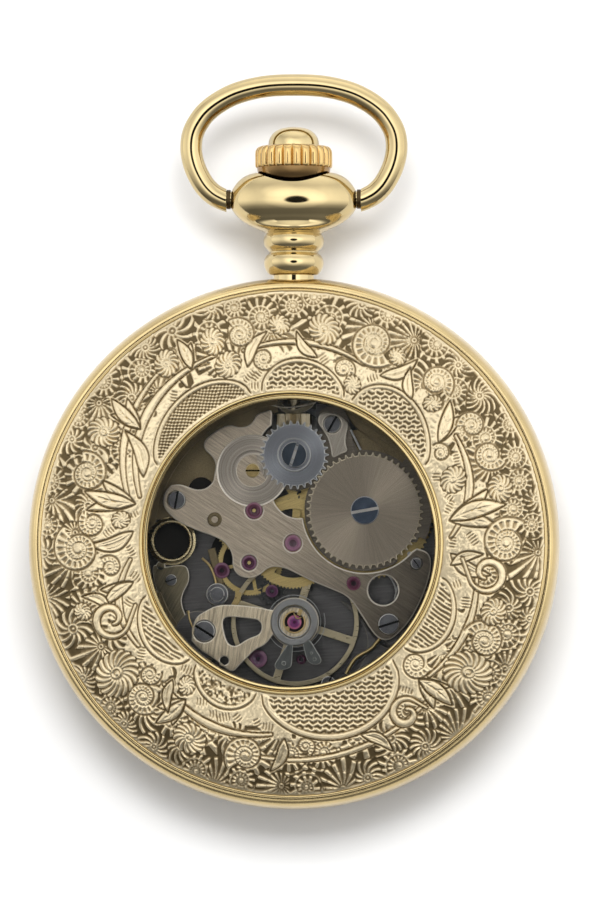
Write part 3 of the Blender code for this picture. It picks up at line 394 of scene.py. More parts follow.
class Shade:
    """A node material with one Principled node and helpers to feed it."""

    def __init__(self, name):
        self.m = bpy.data.materials.new(name)
        self.m.use_nodes = True
        self.t = self.m.node_tree
        self.b = self.t.nodes["Principled BSDF"]

    def n(self, kind, **props):
        node = self.t.nodes.new(kind)
        for k, v in props.items():
            setattr(node, k, v)
        return node

    def link(self, a, b):
        self.t.links.new(a, b)

    def coords(self, scale=(1000, 1000, 1000), rot=(0, 0, 0), loc=(0, 0, 0)):
        """Object coordinates in mm, turned and stretched."""
        tc = self.n("ShaderNodeTexCoord")
        mp = self.n("ShaderNodeMapping")
        mp.inputs["Scale"].default_value = scale
        mp.inputs["Rotation"].default_value = [math.radians(a) for a in rot]
        mp.inputs["Location"].default_value = loc
        self.link(tc.outputs["Object"], mp.inputs["Vector"])
        return mp.outputs["Vector"]

    def noise(self, vec, scale=1.0, detail=2.0, rough=0.5):
        nz = self.n("ShaderNodeTexNoise")
        nz.inputs["Scale"].default_value = scale
        nz.inputs["Detail"].default_value = detail
        nz.inputs["Roughness"].default_value = rough
        self.link(vec, nz.inputs["Vector"])
        return nz.outputs["Fac"]

    def ramp(self, fac, stops, interp="LINEAR"):
        r = self.n("ShaderNodeValToRGB")
        r.color_ramp.interpolation = interp
        e = r.color_ramp.elements
        while len(e) > 1:
            e.remove(e[-1])
        e[0].position, e[0].color = stops[0][0], stops[0][1]
        for p, c in stops[1:]:
            x = e.new(p)
            x.color = c
        self.link(fac, r.inputs["Fac"])
        return r.outputs["Color"]

    def math(self, op, a, b=None, c=None, clamp=False):
        m = self.n("ShaderNodeMath", operation=op, use_clamp=clamp)
        for i, v in enumerate((a, b, c)):
            if v is None:
                continue
            if hasattr(v, "links"):
                self.link(v, m.inputs[i])
            else:
                m.inputs[i].default_value = v
        return m.outputs[0]

    def range(self, v, a0, a1, b0, b1):
        m = self.n("ShaderNodeMapRange")
        self.link(v, m.inputs["Value"])
        for k, x in (("From Min", a0), ("From Max", a1), ("To Min", b0), ("To Max", b1)):
            m.inputs[k].default_value = x
        return m.outputs["Result"]

    def mix(self, fac, a, b, blend="MIX"):
        m = self.n("ShaderNodeMix", data_type="RGBA", blend_type=blend)
        for sock, v in ((m.inputs[0], fac), (m.inputs[6], a), (m.inputs[7], b)):
            if hasattr(v, "links"):
                self.link(v, sock)
            else:
                sock.default_value = v
        return m.outputs[2]

    def xz(self, at=(0.0, 0.0)):
        """Polar coordinates (radius mm, angle) about a point in the local XZ."""
        tc = self.n("ShaderNodeTexCoord")
        s = self.n("ShaderNodeSeparateXYZ")
        self.link(tc.outputs["Object"], s.inputs[0])
        x = self.math("MULTIPLY_ADD", s.outputs[0], 1000.0, -at[0])
        z = self.math("MULTIPLY_ADD", s.outputs[2], 1000.0, -at[1])
        r = self.math("SQRT", self.math("ADD", self.math("MULTIPLY", x, x),
                                        self.math("MULTIPLY", z, z)))
        return x, z, r, self.math("ARCTAN2", z, x)

    def combine(self, x, y, z):
        c = self.n("ShaderNodeCombineXYZ")
        for i, v in enumerate((x, y, z)):
            if hasattr(v, "links"):
                self.link(v, c.inputs[i])
            else:
                c.inputs[i].default_value = v
        return c.outputs[0]

    def flatness(self):
        """1 on faces square to the watch axis, 0 on bevels and walls."""
        g = self.n("ShaderNodeNewGeometry")
        v = self.n("ShaderNodeVectorTransform", vector_type="NORMAL",
                   convert_from="WORLD", convert_to="OBJECT")
        self.link(g.outputs["True Normal"], v.inputs[0])
        s = self.n("ShaderNodeSeparateXYZ")
        self.link(v.outputs[0], s.inputs[0])
        a = self.math("ABSOLUTE", s.outputs[1])
        return self.range(a, 0.93, 0.985, 0.0, 1.0)

    def bump(self, height, strength=0.3, dist=0.00005, normal=None):
        b = self.n("ShaderNodeBump")
        b.inputs["Strength"].default_value = strength
        b.inputs["Distance"].default_value = dist
        self.link(height, b.inputs["Height"])
        if normal is not None:
            self.link(normal, b.inputs["Normal"])
        self.link(b.outputs[0], self.b.inputs["Normal"])
        return b.outputs[0]

    def set(self, **kw):
        for k, v in kw.items():
            s = self.b.inputs[k.replace("_", " ")]
            if hasattr(v, "links"):
                self.link(v, s)
            else:
                s.default_value = v
        return self


def polished(name, colour, rough=0.12, var=0.06, dark=None):
    """Polished metal with faint hand-worn lines and slow colour drift."""
    s = Shade(name)
    big = s.noise(s.coords((260, 260, 260)), 1.0, 3.0)
    fine = s.noise(s.coords((1500, 1500, 9000), (17, 31, 8)), 1.0, 4.0)
    lo = tuple(c * (1 - var * 1.6) for c in colour[:3]) + (1,)
    hi = tuple(min(1, c * (1 + var)) for c in colour[:3]) + (1,)
    s.set(Base_Color=s.ramp(big, [(0.3, lo), (0.7, hi)]), Metallic=1.0,
          Roughness=s.range(fine, 0.25, 0.75, rough * 0.8, rough * 1.35))
    s.bump(fine, 0.10, 0.000004)
    return s.m


def screw_finish(name, colour, floor, edge, rough=0.2):
    """A flat polished screw head with a painted highlight on its chamfer and painted shade or a painted highlight on
    its slot floor.
    """
    s = Shade(name)
    at = s.n("ShaderNodeAttribute", attribute_name="slot_floor_painted_light")
    g = s.noise(s.coords((1800, 1000, 14000), (0, 40, 0)), 1.0, 3.0)
    big = s.noise(s.coords((900, 900, 900), (3, 5, 8)), 1.0, 2.0)
    lo = tuple(c * 0.80 for c in colour[:3]) + (1,)
    hi = tuple(min(1, c * 1.25) for c in colour[:3]) + (1,)
    # the chamfer takes the pale edge colour, a painted highlight
    base = s.mix(s.flatness(), edge, s.ramp(big, [(0.3, lo), (0.7, hi)]))
    # the slot floor takes painted shade or a painted highlight
    s.set(Base_Color=s.mix(at.outputs["Fac"], base, floor), Metallic=1.0,
          Roughness=s.range(g, 0.25, 0.75, rough * 0.8, rough * 1.3))
    s.bump(g, 0.10, 0.000004)
    return s.m


def brushed(name, colour, edge, angle=0.0, rough=0.34, shade_dir=None, amount=0.22,
            wave=0.0, fineness=1.0):
    """A plated flat with straight grain and polished bevels; the bevels get a pale painted highlight, and shade_dir
    paints a shade gradient across the flat.
    """
    s = Shade(name)
    # The object's XZ plane is the flat; grain runs along the turned X.
    x, z, r, a = s.xz()
    ca, sa = math.cos(math.radians(angle)), math.sin(math.radians(angle))
    u = s.math("ADD", s.math("MULTIPLY", x, ca), s.math("MULTIPLY", z, sa))
    v = s.math("SUBTRACT", s.math("MULTIPLY", z, ca), s.math("MULTIPLY", x, sa))
    if wave:
        w = s.math("MULTIPLY", s.math("SINE", s.math("MULTIPLY", u, 2.1)), wave)
        v = s.math("ADD", v, w)
    g1 = s.noise(s.combine(s.math("MULTIPLY", u, 0.22), s.math("MULTIPLY", v, 6.6 * fineness), 0.0), 1.0, 3.0, 0.65)
    g2 = s.noise(s.combine(s.math("MULTIPLY", u, 0.9), s.math("MULTIPLY", v, 19.0 * fineness), 3.1), 1.0, 2.0, 0.6)
    g = s.math("ADD", s.math("MULTIPLY", g1, 0.65), s.math("MULTIPLY", g2, 0.35))
    lo = tuple(c * (1 - amount * 1.4) for c in colour[:3]) + (1,)
    hi = tuple(min(1, c * (1 + amount * 1.4)) for c in colour[:3]) + (1,)
    base = s.ramp(g, [(0.36, lo), (0.64, hi)])
    # painted shade: a gradient that darkens the flat towards one side
    if shade_dir:
        gx, gz, k0, k1 = shade_dir
        t = s.math("ADD", s.math("MULTIPLY", x, gx), s.math("MULTIPLY", z, gz))
        k = s.math("MINIMUM", s.range(t, -1.0, 1.0, k0, k1), 1.06)
        base = s.mix(1.0, base, s.combine(k, k, k), "MULTIPLY")
    # polished bevels take the pale edge colour, a painted highlight
    f = s.flatness()
    s.set(Base_Color=s.mix(f, edge, base), Metallic=s.range(f, 0.0, 1.0, 0.35, 1.0),
          Roughness=s.mix(f, (0.16, 0.16, 0.16, 1), s.combine(*[s.range(g, 0.2, 0.8, rough * 0.8, rough * 1.25)] * 3)))
    s.bump(s.math("MULTIPLY", g, f), 0.5, 0.00001)
    return s.m


def rounded(name, colour, edge, at=(0.0, 0.0), mode="ring", rough=0.32, amount=0.2,
            density=9.0, highlight_fan=0.0, highlight_fan_angle=-2.0, shade_dir=None):
    """A flat turned or sunburst about a centre, with brighter fans painted on as reflections."""
    s = Shade(name)
    x, z, r, a = s.xz(at)
    ca, sa = s.math("COSINE", a), s.math("SINE", a)
    if mode == "ring":
        g = s.noise(s.combine(s.math("MULTIPLY", r, density), s.math("MULTIPLY", ca, 0.06), s.math("MULTIPLY", sa, 0.06)), 1.0, 2.0, 0.5)
    else:
        g = s.noise(s.combine(s.math("MULTIPLY", ca, density * 5), s.math("MULTIPLY", sa, density * 5), s.math("MULTIPLY", r, 0.25)), 1.0, 4.0, 0.65)
    lo = tuple(c * (1 - amount * 1.4) for c in colour[:3]) + (1,)
    hi = tuple(min(1, c * (1 + amount * 1.4)) for c in colour[:3]) + (1,)
    base = s.ramp(g, [(0.3, lo), (0.7, hi)])
    # painted reflection: bright fans across the turned or sunburst grain
    if highlight_fan:
        c2 = s.math("COSINE", s.math("MULTIPLY", s.math("SUBTRACT", a, highlight_fan_angle), 1.0))
        k = s.math("POWER", s.math("ABSOLUTE", c2), 6.0)
        k = s.math("MULTIPLY_ADD", k, highlight_fan, 1.0 - highlight_fan * 0.22)
        base = s.mix(1.0, base, s.combine(k, k, k), "MULTIPLY")
    # painted shade: a gradient that darkens the flat towards one side
    if shade_dir:
        gx, gz, k0, k1 = shade_dir
        t = s.math("ADD", s.math("MULTIPLY", x, gx), s.math("MULTIPLY", z, gz))
        k = s.range(t, -10.0, 10.0, k0, k1)
        base = s.mix(1.0, base, s.combine(k, k, k), "MULTIPLY")
    # bevels take the pale edge colour, a painted highlight
    f = s.flatness()
    s.set(Base_Color=s.mix(f, edge, base), Metallic=s.range(f, 0.0, 1.0, 0.35, 1.0),
          Roughness=s.mix(f, (0.2, 0.2, 0.2, 1), s.combine(*[s.range(g, 0.2, 0.8, rough * 0.8, rough * 1.2)] * 3)))
    s.bump(s.math("MULTIPLY", g, f), 0.35, 0.000005)
    return s.m


def matte(name, colour, rough=0.55, metal=1.0, scale=2.6, var=0.25, bump=0.3, spec=0.5):
    """Grained plating: frosted plate, and near-black painted shade put in wells and holes."""
    s = Shade(name)
    fine = s.noise(s.coords((1000, 1000, 1000)), 7.0, 5.0, 0.7)
    big = s.noise(s.coords((1000, 1000, 1000)), 1.0 / scale, 3.0)
    k = s.math("ADD", s.math("MULTIPLY", fine, 0.6), s.math("MULTIPLY", big, 0.4))
    lo = tuple(c * (1 - var) for c in colour[:3]) + (1,)
    hi = tuple(min(1, c * (1 + var)) for c in colour[:3]) + (1,)
    s.set(Base_Color=s.ramp(k, [(0.35, lo), (0.65, hi)]), Metallic=metal, Specular_IOR_Level=spec,
          Roughness=s.range(fine, 0.3, 0.7, rough * 0.85, rough * 1.15))
    s.bump(fine, bump, 0.00001)
    return s.m


def jewel(name, deep, rim, hole, at=(0.0, 0.0), r_hole=0.2, r=0.7):
    """A polished ruby: violet body, painted shade in the oil sink, a brighter painted ring and a painted pale
    reflection at the rim.
    """
    s = Shade(name)
    x, z, rr, a = s.xz(at)
    q = s.math("DIVIDE", rr, r)
    wob = s.noise(s.coords((1000, 1000, 1000)), 3.0, 2.0)
    q = s.math("MULTIPLY_ADD", wob, 0.06, s.math("SUBTRACT", q, 0.03))
    h = r_hole / r
    # colour by radius: painted shade in the hole, the body, a painted brighter ring, a painted pale reflection at the
    # rim
    s.set(Base_Color=s.ramp(q, [(0.0, hole), (h, hole), (h + 0.07, deep), (0.62, deep),
                                (0.70, tuple(c * 1.5 for c in deep[:3]) + (1,)), (0.86, rim), (1.0, rim)]),
          Metallic=0.0, Roughness=0.22, Coat_Weight=0.15, Coat_Roughness=0.08,
          Specular_IOR_Level=0.35, IOR=1.6)
    return s.m


def glassy(name, tint=(0.01, 0.012, 0.012, 1), alpha=0.12):
    s = Shade(name)
    d = s.noise(s.coords((300, 300, 300)), 1.0, 2.0)
    s.set(Base_Color=tint, Metallic=0.0, Roughness=s.range(d, 0.3, 0.7, 0.015, 0.03), IOR=1.5,
          Alpha=alpha)
    return s.m


def wearing_gold(name, colour, dark, rough=0.34, attr=True, tone=None):
    """Engraved gold: bright worn tops, and painted shade, brown and deepening with depth, in the cuts."""
    s = Shade(name)
    at = s.n("ShaderNodeAttribute", attribute_name="recess")
    grain = s.noise(s.coords((1000, 1000, 1000)), 5.0, 4.0, 0.65)
    big = s.noise(s.coords((1000, 1000, 1000)), 0.22, 3.0)
    k = s.math("ADD", at.outputs["Fac"], s.math("MULTIPLY", s.math("SUBTRACT", grain, 0.5), 0.25), clamp=True)
    hi = tuple(min(1, c * 1.05) for c in colour[:3]) + (1,)
    lo = tuple(c * 0.90 for c in colour[:3]) + (1,)
    top = s.ramp(big, [(0.35, lo), (0.65, hi)])
    mid = tuple(c * 0.50 for c in colour[:3]) + (1,)
    # painted shade in the cuts: none on the tops, down to the dark colour in the deepest cuts
    sink = s.ramp(k, [(0.10, (1, 1, 1, 1)), (0.50, (0.52, 0.47, 0.40, 1)), (0.92, dark)])
    s.set(Base_Color=s.mix(1.0, top, sink, "MULTIPLY"), Metallic=1.0,
          Roughness=s.math("ADD", s.range(k, 0.2, 1.0, rough, rough + 0.22),
                           s.math("MULTIPLY", s.math("SUBTRACT", grain, 0.5), 0.10)))
    s.bump(grain, 0.22, 0.00001)
    return s.m

# tooth counts: barrel; centre, third and its pinion, fourth and its pinion,
# escape pinion and escape wheel
N_BARREL = 78
TRAIN = (80, 75, 10, 80, 10, 8, 15)

# the studio: brightness by height (up, strength) and by side, in camera space
SKY = ((-1.0, 0.20), (-0.78, 0.11), (-0.60, 0.12), (-0.42, 0.28), (-0.22, 0.62), (0.0, 0.90),
       (0.25, 0.90), (0.50, 0.80), (0.72, 0.60), (0.86, 0.78), (1.0, 1.0))
SKY_GAIN = 1.70
SIDE = ((-1.0, 1.0), (-0.75, 0.80), (-0.50, 0.94), (-0.2, 1.0), (0.2, 1.06), (0.5, 1.18), (0.75, 1.06), (1.0, 1.0))
# direction (right, up, into the scene), inner and outer angle, strength
LOBES = (((-0.35, 0.50, -0.80), (6.0, 22.0, 0.40)), ((0.0, 0.05, -1.0), (20.0, 40.0, 0.55)),
         ((0.0, 0.0, -1.0), (10.5, 15.0, -2.4)))
DIFFUSE_SHARE = 0.44
# name, place in camera space, width, watts, colour, height: the shadow light
LAMPS = (("key_soft", (0.0, 0.208, -0.003), 0.26, 1.76, (1.0, 1.0, 1.0), 0.16),
         ("wide_soft", (0.0, 0.12, -0.02), 0.70, 0.58, (1.0, 1.0, 1.0), 0.50))
BACK_GAP = 0.0004


# ------------------------------------------------------------- engraved relief
class Relief:
    """A height map (mm) over a disc, drawn motif by motif like hand engraving."""

    def __init__(self, half, n, seed):
        self.half, self.n = half, n
        self.px = 2.0 * half / n
        self.rng = np.random.default_rng(seed)
        c = ((np.arange(n) + 0.5) * self.px - half).astype(np.float32)
        self.c = c
        self.X, self.Z = np.meshgrid(c, c)
        self.R = np.hypot(self.X, self.Z)
        self.A = np.degrees(np.arctan2(self.Z, self.X))
        self.H = np.zeros((n, n), np.float32)
        self.busy = np.zeros((n, n), bool)
        self.noise = self.smooth_noise(0.9, 3)
        self.fine = self.smooth_noise(0.16, 5)

    def smooth_noise(self, size, salt):
        rng = np.random.default_rng(salt)
        m = max(8, int(2 * self.half / size))
        g = rng.standard_normal((m + 3, m + 3)).astype(np.float32)
        t = (np.arange(self.n) + 0.5) / self.n * m
        i = np.floor(t).astype(int)
        f = (t - i).astype(np.float32)
        f = f * f * (3 - 2 * f)
        rows = g[i] * (1 - f)[:, None] + g[i + 1] * f[:, None]
        return rows[:, i] * (1 - f)[None, :] + rows[:, i + 1] * f[None, :]

    def window(self, x0, x1, z0, z1, pad=0.5):
        a = int(max(0, (x0 - pad + self.half) / self.px))
        b = int(min(self.n, (x1 + pad + self.half) / self.px + 1))
        c = int(max(0, (z0 - pad + self.half) / self.px))
        d = int(min(self.n, (z1 + pad + self.half) / self.px + 1))
        return slice(c, d), slice(a, b)

    def distance(self, pts, closed=False, pad=0.6, widths=None):
        """Distance to a polyline in its window, its inside, and where along it."""
        p = np.asarray(pts, np.float32)
        w = self.window(p[:, 0].min(), p[:, 0].max(), p[:, 1].min(), p[:, 1].max(), pad)
        x, z = self.X[w], self.Z[w]
        best = np.full(x.shape, 1e9, np.float32)
        along = np.zeros(x.shape, np.float32)
        side = np.zeros(x.shape, np.float32)
        inside = np.zeros(x.shape, bool)
        m = len(p) if closed else len(p) - 1
        for i in range(m):
            x0, z0 = p[i]
            x1, z1 = p[(i + 1) % len(p)]
            dx, dz = x1 - x0, z1 - z0
            L = dx * dx + dz * dz + 1e-12
            t = np.clip(((x - x0) * dx + (z - z0) * dz) / L, 0, 1)
            ex, ez = x - x0 - t * dx, z - z0 - t * dz
            d = ex * ex + ez * ez
            k = d < best
            best = np.where(k, d, best)
            along = np.where(k, (i + t) / m, along)
            side = np.where(k, np.sign(dx * ez - dz * ex), side)
            if closed and abs(z1 - z0) > 1e-9:
                c = ((z0 > z) != (z1 > z)) & (x < (x1 - x0) * (z - z0) / (z1 - z0) + x0)
                inside ^= c
        return w, np.sqrt(best), inside, along, side

    def cut(self, pts, width=0.17, depth=0.11, closed=False, taper=False):
        w, d, _, t, _ = self.distance(pts, closed, 0.4)
        hw = width / 2 * (np.clip(np.minimum(t, 1 - t) * 5, 0.25, 1) if taper else 1)
        p = np.clip(1.25 - d / hw * 0.85, 0, 1)
        p = p * p * (3 - 2 * p)
        self.H[w] = np.minimum(self.H[w], self.H[w] * (1 - p) - depth * p)

    def patch(self, pts, base=0.03, bulge=0.06, edge=0.17, depth=0.12, soft=0.5):
        """A raised smooth leaf or panel with a cut outline; returns its window."""
        w, d, ins, _, _ = self.distance(pts, True, 0.5)
        h = base + bulge * (1 - np.exp(-d / soft))
        self.H[w] = np.where(ins, h, self.H[w])
        self.busy[w] |= ins | (d < edge)
        self.cut(pts, edge, depth, True)
        return w, d, ins

    def band(self, pts, w0, w1, w2=None, height=0.07, depth=0.12, groove=0.16):
        """A raised round-topped band with cut edges, of varying width."""
        w, d, _, t, _ = self.distance(pts, False, 1.1)
        w2 = w0 if w2 is None else w2
        half = np.where(t < 0.5, w0 + (w1 - w0) * t * 2, w1 + (w2 - w1) * (t - 0.5) * 2) / 2
        body = d < half
        h = 0.02 + height * np.sqrt(np.clip(1 - (d / half) ** 2, 0, 1))
        self.H[w] = np.where(body, h, self.H[w])
        e = np.abs(d - half - groove * 0.35)
        p = np.clip(1.25 - e / (groove / 2) * 0.85, 0, 1)
        p = np.where(body, 0, p * p * (3 - 2 * p))
        self.H[w] = self.H[w] * (1 - p) - depth * p
        self.busy[w] |= d < half + groove

    # -- shells ---------------------------------------------------------------
    def shell_height(self, dx, dz, size, kind, phase, hand, ribs, duty):
        rho = np.hypot(dx, dz) + 1e-6
        th = np.arctan2(dz, dx) * hand + phase
        if kind == 0:                                  # ammonite
            g = math.log(2.15)
            s = np.log(rho / size) / g - th / (2 * math.pi)
            f = s - np.floor(s)
            turns = np.floor(s)
            rib = np.cos(ribs * th + 1.9 * f + turns * 0.7)
            h = np.clip((rib - duty) / 0.42, 0, 1)
            edge = np.minimum(f, 1 - f) * rho * g
            wall = np.clip(1 - np.abs(edge - 0.0) / 0.11, 0, 1)
            h = h * (1 - wall) * np.clip((rho - 0.10 * size) / 0.12, 0, 1)
            rim = np.clip(1 - np.abs(f - 0.17) * rho * g / 0.10, 0, 1)
            h = np.maximum(h, rim * 0.9 * (1 - wall))
            h = np.where(rho < 0.13 * size, 0.9, h)
        elif kind == 1:                                # rosette with a twist
            rib = np.cos(ribs * (th + 0.55 * (rho / size) ** 1.4))
            h = np.clip((rib - duty) / 0.42, 0, 1)
            h = h * np.clip((rho - 0.30 * size) / 0.10, 0, 1)
            ring = np.clip(1 - np.abs(rho - 0.25 * size) / 0.09, 0, 1)
            h = np.maximum(h, ring)
            h = np.maximum(h, np.clip(1.4 - rho / 0.09, 0, 1))
        else:                                          # fan opening from one side
            ox, oz = math.cos(phase) * size * 0.72, math.sin(phase) * size * 0.72
            ex, ez = dx - ox, dz - oz
            r2 = np.hypot(ex, ez) + 1e-6
            t2 = np.arctan2(-ez * hand, -ex)
            rib = np.cos(ribs * 1.25 * t2 * (1 + 0.06 * r2))
            h = np.clip((rib - duty) / 0.42, 0, 1) * np.clip((r2 - 0.28) / 0.12, 0, 1)
            h = h * (1 - 0.9 * np.clip(1 - np.abs(r2 - size * 1.05) / 0.08, 0, 1))
            curl = np.clip(1 - np.abs(r2 - 0.17) / 0.08, 0, 1)
            h = np.maximum(h, curl)
        return h

    def shells(self, seeds, low=-0.12, high=0.03):
        """Fill the free ground with shells, each clipped where it meets the next."""
        b1 = np.full(self.H.shape, 9.0, np.float32)
        b2 = np.full(self.H.shape, 9.0, np.float32)
        own = np.full(self.H.shape, -1, np.int32)
        for i, s in enumerate(seeds):
            w = self.window(s["x"] - s["size"] * 2, s["x"] + s["size"] * 2,
                            s["z"] - s["size"] * 2, s["z"] + s["size"] * 2, 0)
            q = np.hypot(self.X[w] - s["x"], self.Z[w] - s["z"]) / s["size"]
            near = q < b1[w]
            b2[w] = np.where(near, b1[w], np.minimum(b2[w], q))
            b1[w] = np.where(near, q, b1[w])
            own[w] = np.where(near, i, own[w])
        for i, s in enumerate(seeds):
            w = self.window(s["x"] - s["size"] * 2, s["x"] + s["size"] * 2,
                            s["z"] - s["size"] * 2, s["z"] + s["size"] * 2, 0)
            mine = (own[w] == i) & ~self.busy[w]
            if not mine.any():
                continue
            r = self.R[w]
            duty = np.clip(-0.25 + (r - 17.0) / 5.0 * 0.55, -0.35, 0.35)
            h = self.shell_height(self.X[w] - s["x"], self.Z[w] - s["z"], s["size"],
                                  s["kind"], s["phase"], s["hand"], s["ribs"], duty)
            gap = np.clip((b2[w] - b1[w]) * s["size"] / 0.16, 0, 1)
            out = np.clip((1.55 - b1[w]) / 0.12, 0, 1)
            dome = 0.035 * (1 - np.clip(b1[w], 0, 1.2) ** 2)
            v = low + (high - low) * h * gap * out + dome
            self.H[w] = np.where(mine, v, self.H[w])

    def big_shell(self, x, z, size, phase, hand=1, ribs=17):
        """A large nautilus with a cut outline, standing a little proud."""
        w = self.window(x - size * 1.3, x + size * 1.3, z - size * 1.3, z + size * 1.3, 0)
        dx, dz = self.X[w] - x, self.Z[w] - z
        rho = np.hypot(dx, dz) + 1e-6
        th = np.arctan2(dz, dx) * hand + phase
        t = (th / (2 * math.pi)) % 1.0
        outer = size * (2.05 ** (t - 1.0)) * 1.0
        ins = rho < outer
        g = math.log(2.05)
        s = np.log(rho / size) / g - th / (2 * math.pi)
        f = s - np.floor(s)
        rib = np.cos(ribs * th + 2.2 * f * (1 + 0.2 * np.floor(s)))
        groove = np.clip((rib + 0.15) / 0.5, 0, 1)
        wall = np.clip(1 - np.minimum(f, 1 - f) * rho * g / 0.10, 0, 1)
        inner = np.clip(1 - np.abs(f - 0.22) * rho * g / 0.09, 0, 1)
        h = 0.05 - 0.14 * (1 - np.maximum(groove * (f < 0.80), inner))
        h = np.where(f > 0.80, 0.05, h)
        h = np.where(wall > 0.35, -0.10, h)
        h = np.where(rho < 0.13 * size, 0.06, h)
        h += 0.05 * (1 - (rho / outer) ** 2)
        self.H[w] = np.where(ins, h, self.H[w])
        ring = np.clip(1 - np.abs(rho - outer - 0.05) / 0.11, 0, 1)
        self.H[w] = np.where(ins, self.H[w], self.H[w] * (1 - ring) - 0.12 * ring)
        self.busy[w] |= rho < outer + 0.14

    def petal_shell(self, x, z, size, phase, hand=1, ribs=16):
        """A round shell of curved petals about a small curl, seen from above."""
        w = self.window(x - size * 1.2, x + size * 1.2, z - size * 1.2, z + size * 1.2, 0)
        dx, dz = self.X[w] - x, self.Z[w] - z
        q = math.cos(phase) * dx + math.sin(phase) * dz
        dx, dz = dx + 0.16 * q * math.cos(phase), dz + 0.16 * q * math.sin(phase)
        rho = np.hypot(dx, dz) + 1e-6
        th = (np.arctan2(dz, dx) + phase) * hand
        spin = th + 0.60 * (rho / size) ** 1.5
        rib = np.cos(ribs * spin)
        outer = size * (1 + 0.035 * rib)
        ins = rho < outer
        petal = np.clip((rib + 0.45) / 0.5, 0, 1) * np.clip((rho - 0.30 * size) / 0.10, 0, 1)
        petal = petal * (0.75 + 0.25 * np.clip(rho / size, 0, 1))
        h = -0.10 + 0.15 * petal
        ring = np.clip(1.3 - np.abs(rho - (0.20 + 0.05 * np.sin(th)) * size) / 0.08, 0, 1)
        h = np.maximum(h, -0.10 + 0.16 * ring)
        h = np.where(rho < 0.09 * size, 0.06, h)
        h += 0.05 * (1 - (rho / size) ** 2)
        self.H[w] = np.where(ins, h, self.H[w])
        edge = np.clip(1.2 - np.abs(rho - outer - 0.05) / 0.09, 0, 1)
        self.H[w] = np.where(ins, self.H[w], self.H[w] * (1 - edge) - 0.13 * edge)
        self.busy[w] |= rho < outer + 0.12

    def is_free(self, x, z, size, share):
        w = self.window(x - size, x + size, z - size, z + size, 0)
        b = self.busy[w][::3, ::3]
        d = np.hypot(self.X[w][::3, ::3] - x, self.Z[w][::3, ::3] - z) < size
        return d.any() and b[d].mean() < share

    def fill(self, r0, r1, sizes, tries, share=0.05, seed=3):
        """Large shells wherever there is room, biggest first."""
        rng = np.random.default_rng(seed)
        for size in sizes:
            for _ in range(tries):
                r, a = rng.uniform(r0, r1), rng.uniform(0, 2 * math.pi)
                ph, hd, k = rng.uniform(0, 6.28), (1 if rng.random() < 0.5 else -1), rng.random()
                if r + size > 21.3 or r - size < r0 - 0.6:
                    continue
                x, z = r * math.cos(a), r * math.sin(a)
                if self.is_free(x, z, size * 0.98, share):
                    if k < 0.55:
                        self.petal_shell(x, z, size, ph, hd, int(8 + size * 4.6))
                    else:
                        self.big_shell(x, z, size * 1.15, ph, hd, int(12 + size * 3))

    def plume(self, r, ang, aim, length, width, bend, lines=4):
        """A long curved leaf with lines that follow its edge."""
        x0, z0 = r * math.cos(math.radians(ang)), r * math.sin(math.radians(ang))
        a = math.radians(aim)
        self.leaf(x0, z0, x0 + length * math.cos(a), z0 + length * math.sin(a), width, bend, 0, 0.38)
        nx, nz = -math.sin(a), math.cos(a)
        for k in range(lines):
            o = (k - (lines - 1) / 2) / lines * width * 0.62
            pts = []
            for i in range(9):
                t = 0.18 + 0.60 * i / 8
                b = bend * math.sin(math.pi * t) + o * math.sin(math.pi * min(1, t * 1.15)) ** 0.8
                pts.append((x0 + length * t * math.cos(a) + nx * b, z0 + length * t * math.sin(a) + nz * b))
            self.cut(pts, 0.10, 0.05, taper=True)

    # -- plant forms ----------------------------------------------------------
    def leaf(self, x0, z0, x1, z1, width, bend=0.0, veins=3, fat=0.45):
        dx, dz = x1 - x0, z1 - z0
        L = math.hypot(dx, dz)
        nx, nz = -dz / L, dx / L
        n = 18
        mid, left, right = [], [], []
        for i in range(n + 1):
            t = i / n
            b = bend * math.sin(math.pi * t)
            mx, mz = x0 + dx * t + nx * b, z0 + dz * t + nz * b
            k = (t / fat) if t < fat else (1 - t) / (1 - fat)
            ww = width / 2 * math.sin(min(1.0, max(0.0, k)) * math.pi / 2) ** 0.85
            mid.append((mx, mz))
            left.append((mx + nx * ww, mz + nz * ww))
            right.append((mx - nx * ww, mz - nz * ww))
        self.patch(left + right[::-1][1:-1], 0.03, 0.07, 0.16, 0.13, 0.4)
        self.cut(mid[1:int(n * 0.86)], 0.11, 0.05, taper=True)
        for k in range(veins):
            i = int(n * (0.22 + 0.5 * k / max(1, veins)))
            for sgn in (1, -1):
                m = mid[i]
                e = (left if sgn > 0 else right)[min(n, i + 4)]
                self.cut([(m[0] * 0.85 + e[0] * 0.15, m[1] * 0.85 + e[1] * 0.15),
                          (m[0] * 0.35 + e[0] * 0.65, m[1] * 0.35 + e[1] * 0.65)],
                         0.09, 0.03)

    def scroll(self, x, z, r, start, sweep, w0=0.55, w1=0.2, tail=0.0):
        """A C-scroll: a tapering band that curls in to a small eye."""
        pts = []
        n = 34
        for i in range(n + 1):
            t = i / n
            a = math.radians(start + sweep * t)
            rr = r * (1 - 0.72 * t ** 1.5)
            pts.append((x + rr * math.cos(a), z + rr * math.sin(a)))
        if tail:
            a = math.radians(start)
            d = -1 if sweep > 0 else 1
            tx, tz = d * -math.sin(a), d * math.cos(a)
            pts = [(pts[0][0] + tx * tail * k, pts[0][1] + tz * tail * k - 0.0)
                   for k in (1.0, 0.66, 0.33)] + pts
        self.band(pts, 0.18, w0, w1)

